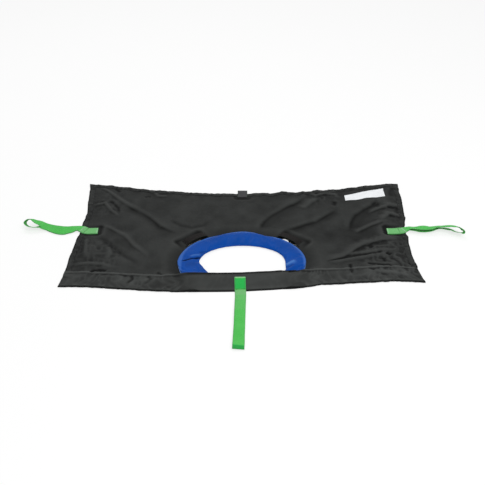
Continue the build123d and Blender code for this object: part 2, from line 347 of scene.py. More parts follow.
def opening_place(x, y):
    """The nearest point of the opening's outline, by its number, and the distance outwards from it."""
    outline, facing = opening_outline(OUTLINE_POINTS)
    x, y = np.asarray(x, float), np.asarray(y, float)
    flat_x, flat_y = x.ravel(), y.ravel()
    nearest, distance = np.empty(x.size, int), np.empty(x.size)
    for start in range(0, x.size, CHUNK):
        part = slice(start, start + CHUNK)
        gap_x, gap_y = flat_x[part, None] - outline[:, 0], flat_y[part, None] - outline[:, 1]
        near = np.argmin(gap_x**2 + gap_y**2, axis=1)
        rows = np.arange(len(near))
        nearest[part] = near
        distance[part] = gap_x[rows, near] * facing[near, 0] + gap_y[rows, near] * facing[near, 1]
    return nearest.reshape(x.shape), distance.reshape(x.shape)


def from_opening(x, y):
    """Distance outwards from the opening's outline, below 0 inside it."""
    return opening_place(x, y)[1]


def from_rectangle(x, y, centre, half_length, half_width, turn=0.0):
    """Distance from a turned rectangle, 0 inside it."""
    across, up = x - centre[0], y - centre[1]
    along = across * math.cos(turn) + up * math.sin(turn)
    beside = -across * math.sin(turn) + up * math.cos(turn)
    return np.hypot(np.maximum(np.abs(along) - half_length, 0), np.maximum(np.abs(beside) - half_width, 0))


def keeper_spot(side, reach):
    """Point beside the ring's shoulder, at that reach from the shoulder's centre."""
    return (
        side * (OPENING_HALF_WIDTH - SHOULDER_RADIUS + reach * math.cos(KEEPER_ANGLE)),
        SHOULDER_Y + reach * math.sin(KEEPER_ANGLE),
    )


def keeper_ways(side, angle=KEEPER_ANGLE):
    """The directions out from the ring's shoulder and along the ring there."""
    away = np.array((side * math.cos(angle), math.sin(angle)))
    return away, np.array((-side * math.sin(angle), math.cos(angle)))


def keeper_lie(side):
    """Where a keeper lies: its middle, and the directions across it and along it."""
    away, along = keeper_ways(side, KEEPER_ANGLE + KEEPER_LEAN)
    return np.array(keeper_spot(side, KEEPER_REACH)) + along * KEEPER_SHIFT, away, along


# ---- How the cloth lies ----


def fold_height(x, y, line, height, left, right):
    """Height of one fold or groove, in mm. Its ends fade out."""
    line = np.array(line, float)
    steps = np.hypot(*np.diff(line, axis=0).T)
    whole = steps.sum()
    best = np.full(x.shape, 1e9)
    signed, share = np.zeros(x.shape), np.zeros(x.shape)
    for k, step in enumerate(steps):
        direction = (line[k + 1] - line[k]) / step
        gap_x, gap_y = x - line[k, 0], y - line[k, 1]
        along = np.clip(gap_x * direction[0] + gap_y * direction[1], 0, step)
        off_x, off_y = gap_x - along * direction[0], gap_y - along * direction[1]
        distance = np.hypot(off_x, off_y)
        nearer = distance < best
        best = np.where(nearer, distance, best)
        signed = np.where(nearer, direction[0] * gap_y - direction[1] * gap_x, signed)
        share = np.where(nearer, (steps[:k].sum() + along) / whole, share)
    spread = np.where(signed > 0, left, right)
    fade = smooth_step(0, 0.18, share) * smooth_step(0, 0.3, 1 - share)
    return height * bell(best, 0, spread) * fade


def cloth_rise(x, y):
    """How far the cloth stands above the floor it lies on, in metres. Inside, lengths are in mm."""
    x, y = np.asarray(x, float), np.asarray(y, float)
    mm_x, mm_y = x / MM, y / MM
    scale = settings().fold_height
    wander_x = mm_x + 3 * variation(mm_x / 45, mm_y / 45, 1)
    wander_y = mm_y + 3 * variation(mm_x / 45, mm_y / 45, 2)
    edge = np.minimum.reduce([
        back_edge(x) - y, side_edge(y) - np.abs(x), np.maximum(y - front_edge(x), 0.0),
    ]) / MM
    rise = 3.3 * smooth_step(0, 60, edge) + 0.6
    rise = rise + 1.3 * variation(mm_x / 70, mm_y / 52, 3) * smooth_step(0, 50, edge)
    rise = rise + 0.45 * variation(mm_x / 21, mm_y / 26, 4)
    for line, height, left, right in FOLDS:
        height = height * (FOLD_GAIN if height > 0 else GROOVE_GAIN)
        points = np.array(line, float)
        low, high = points.min(0) - 70, points.max(0) + 70
        near = (wander_x > low[0]) & (wander_x < high[0]) & (wander_y > low[1]) & (wander_y < high[1])
        if near.any():
            rise[near] += fold_height(wander_x[near], wander_y[near], line, height, left, right)
    crumple = 1 - np.abs(variation(wander_x / 13, wander_y / 17, 5))
    crumpled = np.maximum.reduce([
        strength * smooth_step(reach, core, np.hypot(mm_x - place_x, mm_y - place_y))
        for strength, reach, core, place_x, place_y in CRUMPLES
    ])
    rise = rise + crumpled * (1.5 * crumple**2 - 0.6)
    small = 1 - np.abs(variation(wander_x / 6.5 + wander_y / 15, wander_y / 9, 15))
    rise = rise + (0.3 + 0.7 * crumpled) * 0.55 * small**3
    rise = rise + bell(edge, 0, 15) * 0.9 * variation((mm_x + mm_y) / 4.6, (mm_x - mm_y) / 40, 6)
    from_back = (back_edge(x) - y) / MM
    inward = np.maximum(from_back, 0) / 22
    for place, half_length, height in BACK_RIPPLES:
        rise = rise + height * np.exp(-(((mm_x - place) / half_length) ** 2) - inward**2)
    return scale * calm(x, y) * (rise + np.sqrt(rise**2 + 1.6)) / 2 * MM


def calm(x, y):
    """1 where the cloth is free to fold, and 0 under what is sewn flat to it."""
    free = smooth_step(RING_WIDTH + 0.003, RING_WIDTH + 0.040, from_opening(x, y))
    for low, high in (LEFT_TAIL, RIGHT_TAIL, REAR_TAIL):
        centre = ((low.x + high.x) / 2, (low.y + high.y) / 2 - 0.003)
        gap = from_rectangle(x, y, centre, (high.x - low.x) / 2, (high.y - low.y) / 2)
        free = free * smooth_step(0.004, 0.016, gap)
    for side in (-1, 1):
        spot = keeper_spot(side, SHOULDER_RADIUS + RING_WIDTH + 0.014)
        turn = side * (KEEPER_ANGLE - math.pi / 2) + math.pi
        gap = from_rectangle(x, y, spot, KEEPER_LENGTH / 2, 0.018, turn)
        free = free * smooth_step(0.004, 0.018, gap)
    return free


def edge_shift(x, y):
    """How far a point of the cloth stands out sideways from its place in the flat pattern, in metres."""
    mm_x, mm_y = np.asarray(x, float) / MM, np.asarray(y, float) / MM
    side = np.where(mm_x < 0, table_value(LEFT_EDGE, mm_y), table_value(RIGHT_EDGE, mm_y))
    side = side + 0.7 * variation(mm_y / 13, 0, 7)
    reach = smooth_step(220, 400, np.abs(mm_x))
    tail_y = (LEFT_TAIL[0].y + LEFT_TAIL[1].y) / 2 / MM
    held = smooth_step(12, 26, np.abs(mm_y - tail_y + 3))
    back = table_value(BACK_EDGE, mm_x) + 0.8 * variation(mm_x / 15, 0, 8)
    lifted = smooth_step(180, 330, mm_y)
    front = table_value(FRONT_EDGE, mm_x)
    front = front + 0.8 * variation(mm_x / 12, 0, 9) * smooth_step(90, 160, np.abs(mm_x))
    clear = smooth_step(RING_WIDTH - 0.030, RING_WIDTH + 0.004, from_opening(x, y))
    front = front * np.where(mm_y < -60, 1.0, smooth_step(60, -50, mm_y) * clear)
    shift_y = back * lifted + front * smooth_step(60, -50, mm_y)
    return side * reach * (0.35 + 0.65 * held) * MM, shift_y * MM


def draped(points):
    """Points of the flat pattern, moved to where the cloth lies."""
    points = np.asarray(points, float)
    x, y = points[..., 0], points[..., 1]
    shift_x, shift_y = edge_shift(x, y)
    return np.stack([x + shift_x, y + shift_y, points[..., 2] + cloth_rise(x, y)], -1)


def band_bed(x, y):
    """Height of what the front band lies on: the sheet, or the ring."""
    over_ring = 1 - smooth_step(RING_WIDTH - 0.010, RING_WIDTH + 0.050, from_opening(x, y))
    return PANEL_TOP + (RING_TOP - PANEL_TOP) * over_ring


def band_slope(depth, top):
    """Height of the front band's upper face that far in from its front edge. It climbs gently to its top."""
    reach = LIP + 3.1 * (top - LIP)
    share = np.clip((depth - LIP) / np.maximum(reach - LIP, 1e-6), 0, 1)
    return LIP + (top - LIP) * np.sin(share * math.pi / 2)


def band_top(x):
    """Height of the front band's highest part."""
    front = front_edge(x)
    return np.maximum(band_bed(x, front + 0.018), band_bed(x, front + 0.03)) + BAND_THICKNESS


def front_lift(x, y):
    """How far the sheet is drawn up beside the ring to meet the raised part of the front band."""
    beside = smooth_step(RING_WIDTH + 0.002, RING_WIDTH + 0.012, from_opening(x, y))
    return np.maximum(band_bed(x, y) - PANEL_TOP - 0.0012, 0) * beside * smooth_step(-0.030, -0.060, y)


def within_sides(points):
    """The points, none of them further out than the sheet's cut sides."""
    limit = side_edge(np.clip(points[..., 1], FRONT_Y, BACK_CORNER_Y)) + 0.0002
    points[..., 0] = np.clip(points[..., 0], -limit, limit)
    return points


# ---- Making meshes ----


def deselect():
    if bpy.context.object and bpy.context.object.mode != "OBJECT":
        bpy.ops.object.mode_set(mode="OBJECT")
    bpy.ops.object.select_all(action="DESELECT")


def select_alone(piece):
    deselect()
    piece.select_set(True)
    bpy.context.view_layer.objects.active = piece


def vertex_points(mesh):
    return np.array([vertex.co for vertex in mesh.vertices], float)


def place_vertices(piece, points):
    piece.data.vertices.foreach_set("co", points.astype(np.float32).ravel())
    piece.data.update()


def mark(piece, layer, values):
    """Stores a value for each vertex, which the material reads as an attribute of that name."""
    attribute = piece.data.attributes.new(layer, "FLOAT", "POINT")
    attribute.data.foreach_set("value", np.asarray(values).astype(np.float32).ravel())


def shaped_grid(name, points, across=None, along=None):
    """A grid with a vertex for each point. Its UV map holds across and along, in metres, if given."""
    rows, columns = points.shape[:2]
    deselect()
    bpy.ops.mesh.primitive_grid_add(x_subdivisions=columns - 1, y_subdivisions=rows - 1, size=1,
                                    calc_uvs=True)
    piece = bpy.context.object
    piece.name = piece.data.name = name
    place_vertices(piece, points)
    if across is not None:
        corners = np.empty(len(piece.data.loops), np.int32)
        piece.data.loops.foreach_get("vertex_index", corners)
        flat = np.stack([np.asarray(across)[corners % columns], np.asarray(along)[corners // columns]], 1)
        piece.data.uv_layers[0].data.foreach_set("uv", flat.astype(np.float32).ravel())
        piece.data.update()
    return piece


def closed_shell(piece):
    """Merges the seams of a wrapped grid, closes its ends and turns its faces outwards."""
    bpy.ops.object.mode_set(mode="EDIT")
    bpy.ops.mesh.select_mode(type="VERT")
    bpy.ops.mesh.select_all(action="SELECT")
    bpy.ops.mesh.remove_doubles(threshold=1e-6)
    bpy.ops.mesh.select_all(action="SELECT")
    bpy.ops.mesh.fill_holes(sides=0)
    bpy.ops.mesh.normals_make_consistent(inside=False)
    bpy.ops.object.mode_set(mode="OBJECT")
    return piece


def apply_modifier(piece, kind, **values):
    """Adds a modifier to the piece and applies it."""
    select_alone(piece)
    modifier = piece.modifiers.new(kind.title(), kind)
    for key, value in values.items():
        setattr(modifier, key, value)
    bpy.ops.object.modifier_apply(modifier=modifier.name)


def finish_piece(piece, material, body, angle=None):
    """Gives the piece its material and shading, and the body it rides on, if it rides on one alone."""
    piece.data.materials.clear()
    piece.data.materials.append(material)
    select_alone(piece)
    if angle is None:
        bpy.ops.object.shade_smooth()
    else:
        bpy.ops.object.shade_smooth_by_angle(angle=math.radians(angle))
    if body:
        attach(piece, body)
    return piece


# ---- Materials ----


class Shader:
    """The nodes of one material, added one after another."""

    def __init__(self, name):
        self.material = bpy.data.materials.new(name)
        self.material.use_nodes = True
        self.tree = self.material.node_tree
        self.surface = self.tree.nodes["Principled BSDF"]
        self.place = self.add("ShaderNodeTexCoord").outputs["Object"]

    def add(self, kind, inputs=None, **values):
        made = self.tree.nodes.new(kind)
        for key, value in values.items():
            setattr(made, key, value)
        for key, value in (inputs or {}).items():
            self.set(made.inputs[key], value)
        return made

    def set(self, socket, value):
        if isinstance(value, bpy.types.NodeSocket):
            self.tree.links.new(value, socket)
        else:
            socket.default_value = value

    def noise(self, scale, detail=3.0, roughness=0.55, distortion=0.0, place=None):
        return self.add(
            "ShaderNodeTexNoise",
            {"Vector": place or self.place, "Scale": scale, "Detail": detail, "Roughness": roughness,
             "Distortion": distortion},
        ).outputs["Fac"]

    def wave(self, scale, direction, place=None, distortion=0.0):
        return self.add(
            "ShaderNodeTexWave",
            {"Vector": place or self.place, "Scale": scale, "Distortion": distortion, "Detail": 1.0},
            bands_direction=direction,
        ).outputs["Fac"]

    def math(self, operation, first, second=0.0):
        made = self.add("ShaderNodeMath", operation=operation)
        self.set(made.inputs[0], first)
        self.set(made.inputs[1], second)
        return made.outputs[0]

    def range(self, value, low, high, start=0.0, end=1.0):
        return self.add(
            "ShaderNodeMapRange",
            {"Value": value, "From Min": low, "From Max": high, "To Min": start, "To Max": end},
        ).outputs[0]

    def attribute(self, name):
        return self.add("ShaderNodeAttribute", attribute_name=name).outputs["Fac"]

    def uv_map(self):
        return self.add("ShaderNodeTexCoord").outputs["UV"]

    def blend(self, share, first, second):
        made = self.add("ShaderNodeMix", data_type="RGBA")
        self.set(made.inputs[0], share)
        self.set(made.inputs[6], first)
        self.set(made.inputs[7], second)
        return made.outputs[2]

    def layered(self, tone, *layers):
        """Lays colours over the tone, one after another, each by its own share."""
        for share, colour in layers:
            tone = self.blend(share, tone, colour)
        return tone

    def bump(self, height, distance, strength=1.0, under=None):
        inputs = {"Height": height, "Distance": distance, "Strength": strength}
        if under is not None:
            inputs["Normal"] = under
        return self.add("ShaderNodeBump", inputs).outputs[0]

    def finish(self, **inputs):
        for key, value in inputs.items():
            self.set(self.surface.inputs[key.replace("_", " ")], value)
        return self.material


def shade(colour, factor):
    return (*(channel * factor for channel in colour[:3]), 1.0)


def nylon_material(colour, name="coated_nylon"):
    """Coated nylon: a fine plain weave and soft crinkles. Its colour is painted paler where the cloth stands
    high, a painted highlight, and takes painted light and shade from its marked crests and hollows; high
    cloth is also a little less rough.
    """
    made = Shader(name)
    crinkle = made.noise(42.0, 5.0, 0.6, 0.6)
    fine = made.noise(190.0, 3.0, 0.5, 0.4)
    weave = made.math("MULTIPLY", made.wave(480.0, "X"), made.wave(480.0, "Y"))
    height = made.math("ADD", crinkle, made.math("MULTIPLY", fine, 0.16))
    painted_highlight, painted_shading = made.attribute("painted_highlight"), made.attribute("painted_shading")
    patches = made.noise(9.0, 4.0, 0.6, 0.3)
    tone = made.layered(
        made.blend(made.range(patches, 0.3, 0.7), shade(colour, 0.74), shade(colour, 1.30)),
        (made.math("MULTIPLY", weave, 0.35), shade(colour, 0.55)),
        # Painted highlight where the cloth stands high.
        (made.math("MULTIPLY", painted_highlight, 0.35), shade(colour, 2.0)),
        # Painted highlight on marked crests and painted shade in marked hollows.
        (made.range(painted_shading, 0.0, 1.0, 0.0, 0.6), shade(colour, 2.0)),
        (made.range(painted_shading, 0.0, -1.0, 0.0, 0.9), shade(colour, 0.2)),
    )
    rough = made.math("ADD", made.range(patches, 0.3, 0.7, 0.50, 0.58), made.math("MULTIPLY", painted_highlight, -0.05))
    normal = made.bump(weave, 0.00006, 0.6, made.bump(height, 0.0014, 0.55))
    return made.finish(Base_Color=tone, Roughness=rough, Normal=normal, Specular_IOR_Level=0.03)


def vinyl_material(colour, name="padded_vinyl"):
    """Soft vinyl with a fine leather grain, small creases and a light gloss. Its colour has a painted
    highlight along the marked rim and on the crests of marked creases, and painted shade deep in those
    creases.
    """
    made = Shader(name)
    grain = made.add(
        "ShaderNodeTexVoronoi",
        {"Vector": made.place, "Scale": 900.0, "Randomness": 0.95},
        feature="SMOOTH_F1",
    ).outputs["Distance"]
    crease = made.noise(55.0, 4.0, 0.55, 1.2)
    mottle = made.noise(16.0, 3.0, 0.5)
    painted_shading = made.attribute("painted_shading")
    tone = made.layered(
        made.blend(made.range(mottle, 0.3, 0.7), shade(colour, 0.9), shade(colour, 1.12)),
        (made.range(grain, 0.0, 0.5, 0.25, 0.0), shade(colour, 0.7)),
        # Painted highlight along the ring's outer rim.
        (made.math("MULTIPLY", made.attribute("painted_highlight"), 0.7), PAINTED_RIM_HIGHLIGHT_VINYL),
        # Painted highlight on crease crests and painted shade in crease grooves.
        (made.range(painted_shading, 0.0, 1.0, 0.0, 0.8), PAINTED_CREASE_HIGHLIGHT_VINYL),
        (made.range(painted_shading, 0.0, -1.0, 0.0, 0.95), shade(colour, 0.12)),
    )
    rough = made.range(mottle, 0.3, 0.7, 0.30, 0.38)
    normal = made.bump(grain, 0.00012, 0.5, made.bump(crease, 0.0012, 0.35))
    return made.finish(Base_Color=tone, Roughness=rough, Normal=normal, Specular_IOR_Level=0.04)


def webbing_material(name, colour, edge_colour, sheen=0.06):
    """Flat woven webbing: lengthwise ribs crossed by picks, with denser edges, along the strap's UV map."""
    made = Shader(name)
    flat = made.uv_map()
    ribs = made.wave(260.0, "X", flat)
    picks = made.wave(210.0, "Y", flat)
    across = made.add("ShaderNodeSeparateXYZ", {"Vector": flat}).outputs[0]
    offset = made.add("ShaderNodeMapping", {"Vector": flat, "Location": (0.0006, 0.00075, 0.0)}).outputs[0]
    other = made.math("MULTIPLY", made.wave(260.0, "X", offset), made.wave(210.0, "Y", offset))
    weave = made.math("MAXIMUM", made.math("MULTIPLY", ribs, picks), other)
    selvage = made.range(made.math("ABSOLUTE", across), 0.0108, 0.0116)
    height = made.math("ADD", weave, made.math("MULTIPLY", selvage, 0.8))
    fuzz = made.noise(700.0, 3.0, 0.7, 0.0, flat)
    fade = made.noise(30.0, 3.0, 0.5, 0.0, flat)
    placed = made.attribute("tone")
    pale_tone = (*(0.5 * channel + 0.13 for channel in edge_colour[:3]), 1.0)
    deep = shade((colour[0] * 0.2, colour[1], colour[2]), 0.76)
    dense = shade((edge_colour[1] * 0.35, edge_colour[1], edge_colour[1] * 0.4), 0.42)
    tone = made.layered(
        made.blend(made.range(weave, 0.0, 0.8), shade(colour, 0.62), shade(colour, 1.08)),
        (made.range(fade, 0.35, 0.7, 0.0, 0.3), edge_colour),
        # Tone above 0 paints the strap paler and below 0 deeper; on the front loop these are painted
        # highlight and painted shade.
        (made.range(placed, 0.0, 1.0, 0.0, 0.75), pale_tone),
        (made.range(placed, 0.0, -1.0, 0.0, 0.95), deep),
        (made.range(placed, -1.0, -2.0), shade(colour, 0.25)),
        (made.math("MULTIPLY", selvage, 0.6), dense),
        (made.range(fuzz, 0.4, 0.8, 0.0, 0.25), shade(colour, 1.3)),
    )
    rough = made.range(fuzz, 0.3, 0.7, 0.62, 0.78)
    normal = made.bump(fuzz, 0.00008, 0.5, made.bump(height, 0.00022, 0.7))
    return made.finish(Base_Color=tone, Roughness=rough, Normal=normal, Specular_IOR_Level=2 * sheen,
                       Sheen_Weight=sheen, Sheen_Roughness=0.5)


def label_material(colour):
    """Woven satin label cloth, slightly soiled in patches."""
    made = Shader("label_satin")
    flat = made.uv_map()
    satin = made.wave(700.0, "Y", flat)
    threads = made.wave(420.0, "X", flat)
    soil = made.noise(60.0, 4.0, 0.6, 0.3)
    tone = made.layered(
        colour,
        (made.range(soil, 0.4, 0.75, 0.0, 0.5), shade(colour, 0.82)),
        (made.math("MULTIPLY", threads, 0.1), shade(colour, 0.75)),
    )
    normal = made.bump(made.math("ADD", satin, made.math("MULTIPLY", threads, 0.5)), 0.00006, 0.6)
    return made.finish(Base_Color=tone, Roughness=made.range(soil, 0.3, 0.7, 0.48, 0.6), Normal=normal)


def thread_material(name, colour):
    """Twisted sewing thread."""
    made = Shader(name)
    twist = made.wave(520.0, "DIAGONAL", distortion=0.4)
    tone = made.blend(made.range(twist, 0.2, 0.8), shade(colour, 0.6), shade(colour, 1.15))
    rough = made.range(twist, 0, 1, 0.5, 0.65)
    return made.finish(Base_Color=tone, Roughness=rough, Normal=made.bump(twist, 0.0001, 0.5))


def floor_material(colour):
    """A pale matt floor, with very slight unevenness. The camera sees it near white, with a soft shadow."""
    made = Shader("studio_floor")
    cloud = made.noise(1.2, 3.0, 0.5)
    tone = made.blend(made.range(cloud, 0.3, 0.7), shade(colour, 0.995), colour)
    rough = made.range(cloud, 0.3, 0.7, 0.88, 0.94)
    material = made.finish(Base_Color=tone, Roughness=rough, Specular_IOR_Level=0.0)
    seen = made.add("ShaderNodeLightPath").outputs["Is Camera Ray"]
    glow = made.add("ShaderNodeEmission", {"Strength": 1.0})
    share = made.math("MULTIPLY", seen, 0.75)
    both = made.add("ShaderNodeMixShader", {0: share, 1: made.surface.outputs[0], 2: glow.outputs[0]})
    made.tree.links.new(both.outputs[0], made.tree.nodes["Material Output"].inputs["Surface"])
    return material


MATERIALS = {}


def materials():
    """The object's materials, made once."""
    if not MATERIALS:
        values = settings()
        green, black = values.webbing_colour, values.keeper_colour
        MATERIALS.update(
            nylon=nylon_material(values.nylon_colour),
            band=nylon_material(shade(values.nylon_colour, 1.5), "doubled_nylon"),
            vinyl=vinyl_material(values.vinyl_colour),
            piping=vinyl_material(values.piping_colour, "piping_vinyl"),
            green_webbing=webbing_material("green_webbing", green, values.webbing_edge_colour),
            black_webbing=webbing_material("black_webbing", black, shade(black, 1.4), 0.01),
            # The rear loop's grey colour is a painted sheen on black webbing.
            rear_webbing=webbing_material("rear_webbing", REAR_WEBBING_PAINTED_SHEEN, REAR_WEBBING_PAINTED_SHEEN_EDGE, 0.03),
            label_cloth=label_material(values.label_colour),
            black_thread=thread_material("black_thread", values.black_thread_colour),
            keeper_thread=thread_material("keeper_thread", KEEPER_THREAD_COLOUR),
            green_thread=thread_material("green_thread", values.green_thread_colour),
            deep_green_thread=thread_material("deep_green_thread", shade(green, 0.35)),
        )
    return MATERIALS


# ---- Webbing ----


def smooth_line(knots, count):
    """A smooth line through the knots, as count evenly spaced rows of all their columns."""
    knots = np.array(knots, float)
    ends = np.concatenate([[2 * knots[0] - knots[1]], knots, [2 * knots[-1] - knots[-2]]])
    rows = []
    for before, start, end, after in zip(ends, ends[1:], ends[2:], ends[3:]):
        for t in np.linspace(0, 1, 24, endpoint=False):
            rows.append(
                0.5 * (2 * start + (end - before) * t + (2 * before - 5 * start + 4 * end - after) * t**2
                       + (3 * start - before - 3 * end + after) * t**3)
            )
    rows = np.array([*rows, knots[-1]])
    run = run_along(rows[:, :3])
    at = np.linspace(0, run[-1], count)
    return rows_at(at, run, rows), at


def strap_section(width, thickness):
    """Points round a flat strap's section with rounded edges: across it and up from its middle."""
    across = np.array([-0.5, -0.485, -0.45, -0.3, -0.15, 0, 0.15, 0.3, 0.45, 0.485]) * width
    up = np.array([0, 0.36, 0.5, 0.5, 0.5, 0.5, 0.5, 0.5, 0.5, 0.36]) * thickness
    return np.stack([np.concatenate([across, -across, across[:1]]), np.concatenate([up, -up, up[:1]])], 1)


def strap(name, knots, count, side_way, width, thickness, curl=0.0):
    """A strap along knots of x, y, z (mm) and tilt (degrees). side_way is its width direction where the tilt
    is 0, and curl is how far, in degrees, its free part is bent round its length. Returns the piece and how
    it is laid: run, middle line, width directions, face directions and thickness."""
    rows, run = smooth_line(knots, count)
    middle, run = rows[:, :3] * MM, run * MM
    drop = np.abs(np.sin(np.radians(rows[:, 3]))) * width / 2 + thickness / 2
    middle[:, 2] = np.maximum(middle[:, 2], drop + 0.0003)
    ahead = unit(np.gradient(middle, axis=0))
    tilt = np.radians(rows[:, 3])[:, None]
    wide = np.array(side_way, float) * np.cos(tilt) + np.array((0, 0, 1.0)) * np.sin(tilt)
    wide = unit(wide - ahead * np.sum(wide * ahead, axis=1)[:, None])
    face = np.cross(ahead, wide)
    section = strap_section(width, thickness)
    end_gap = np.minimum(np.minimum(run, run[-1] - run) / 0.065, np.abs(run - run[-1] / 2) / 0.050)
    bend = math.radians(curl) * smooth_step(0.3, 1, end_gap)[:, None] + 1e-4
    turn = bend * section[None, :, 0] / width
    outward = np.sign(face[:, 2:]) * width / bend
    across = (width / bend + np.sign(face[:, 2:]) * section[None, :, 1]) * np.sin(turn)
    height = section[None, :, 1] - outward * (1 - np.cos(turn))
    points = middle[:, None, :] + across[..., None] * wide[:, None, :] + height[..., None] * face[:, None, :]
    points[..., 2] += np.maximum(0.0003 - points[..., 2].min(axis=1), 0)[:, None]
    piece = closed_shell(shaped_grid(name, points, section[:, 0], run))
    return piece, (run, middle, wide, face, thickness)


def tone_strap(piece, bands):
    """Marks parts of a strap as paler or deeper. Each band holds its start and end along it and its tone."""
    corners = np.empty(len(piece.data.loops), np.int32)
    flat = np.empty(2 * len(corners), np.float32)
    piece.data.loops.foreach_get("vertex_index", corners)
    piece.data.uv_layers[0].data.foreach_get("uv", flat)
    run = np.zeros(len(piece.data.vertices))
    run[corners] = flat[1::2]
    tone = np.zeros(len(run))
    for start, end, value in bands:
        begun = smooth_step(start - 0.002, start + 0.002, run)
        tone += value * begun * smooth_step(end + 0.002, end - 0.002, run)
    mark(piece, "tone", tone)


def strap_places(laid, along, across):
    """Places on a strap's upper face: points, the strap's direction there, and the way up."""
    run, middle, wide, face, thickness = laid
    ahead = rows_at(along, run, np.gradient(middle, run, axis=0))
    up = rows_at(along, run, face)
    up = up * np.sign(up[..., 2:])
    points = rows_at(along, run, middle) + across[..., None] * rows_at(along, run, wide) + up * thickness / 2
    return points, ahead, up


def bar_tack(laid, along, half, length, pitch=0.0009):
    """A dense row of stitches across a strap, as middles, directions and ways up."""
    across = np.arange(-half, half, pitch)
    points, ahead, up = strap_places(laid, np.full(len(across), along), across)
    return points, ahead * length, up


def strap_seam(laid, start, end, pitch):
    """A row of stitches from one place on a strap to another. Each place is along and across the strap."""
    count = max(int(math.dist(start, end) / pitch), 2)
    share = (np.arange(count) + 0.5) / count
    whole_along, whole_across = end[0] - start[0], end[1] - start[1]
    along, across = start[0] + whole_along * share, start[1] + whole_across * share
    points, _, up = strap_places(laid, along, across)
    before, _, _ = strap_places(laid, along - whole_along * 0.01, across - whole_across * 0.01)
    return points, points - before, up


def tail_seams(laid, start, end, beside, crossing):
    """The two long seams of a sewn tail, from start to end, and the seam that crosses it."""
    rows = [strap_seam(laid, (start, beside * way), (end, beside * way), LOOP_SEAM_PITCH) for way in (-1, 1)]
    return rows + [bar_tack(laid, crossing, TACK_HALF, 0.0016)]


# ---- Stitches ----


def stitch_shape(length, diameter):
    """One stitch along X: a short round thread, drawn in at both ends."""
    deselect()
    bpy.ops.mesh.primitive_cylinder_add(vertices=6, radius=diameter / 2, depth=length * 0.6,
                                        end_fill_type="NGON")
    piece = bpy.context.object
    bpy.ops.object.mode_set(mode="EDIT")
    bpy.ops.mesh.select_mode(type="FACE")
    for way in (-1, 1):
        bpy.ops.mesh.select_all(action="DESELECT")
        bpy.ops.object.mode_set(mode="OBJECT")
        for face in piece.data.polygons:
            face.select = face.normal.z * way > 0.9
        bpy.ops.object.mode_set(mode="EDIT")
        bpy.ops.mesh.extrude_region_move(TRANSFORM_OT_translate={"value": (0, 0, way * length * 0.2)})
        bpy.ops.transform.resize(value=(0.45, 0.45, 1), center_override=(0, 0, way * length / 2))
    bpy.ops.object.mode_set(mode="OBJECT")
    points = vertex_points(piece.data)[:, [2, 0, 1]]
    points[:, 2] -= diameter * 0.3 * (np.abs(points[:, 0]) / (length / 2)) ** 2
    faces = [tuple(face.vertices) for face in piece.data.polygons]
    bpy.data.objects.remove(piece)
    return points, faces


def stitch_rows(name, rows, length, diameter, material):
    """Copies of one stitch. Each row holds its stitches' middles, directions and ways up, as arrays."""
    shape, faces = stitch_shape(length, diameter)
    middles, aheads, ups = (np.concatenate([row[k] for row in rows]) for k in range(3))
    aheads = unit(aheads)
    sides = unit(np.cross(ups, aheads))
    ups = np.cross(aheads, sides)
    points = (
        middles[:, None, :] + shape[None, :, 0, None] * aheads[:, None, :]
        + shape[None, :, 1, None] * sides[:, None, :] + shape[None, :, 2, None] * ups[:, None, :]
    ).reshape(-1, 3)
    every = [tuple(k * len(shape) + v for v in face) for k in range(len(middles)) for face in faces]
    mesh = bpy.data.meshes.new(name)
    mesh.from_pydata(points.tolist(), [], every)
    piece = bpy.data.objects.new(name, mesh)
    bpy.context.scene.collection.objects.link(piece)
    return finish_piece(piece, material, "sheet")


def stitch_run(line, pitch):
    """Stitches evenly spaced along a line of points on a surface that faces up, as one row."""
    run = run_along(line)
    at = np.arange(pitch / 2, run[-1], pitch)
    ahead = rows_at(at + pitch / 3, run, line) - rows_at(at - pitch / 3, run, line)
    return rows_at(at, run, line), ahead, np.tile((0, 0, 1.0), (len(at), 1))


# ---- Settings ----


def length_value(name, description, value):
    return bpy.props.FloatProperty(name=name, description=description, default=value, min=0.0,
                                   subtype="DISTANCE", unit="LENGTH", precision=4)


def colour_value(name, description, value):
    return bpy.props.FloatVectorProperty(name=name, description=description, default=(*value, 1.0), size=4,
                                         subtype="COLOR", min=0.0, max=1.0)


def power_value(name, description, value):
    return bpy.props.FloatProperty(name=name, description=description, default=value, min=0.0,
                                   subtype="POWER", unit="POWER")


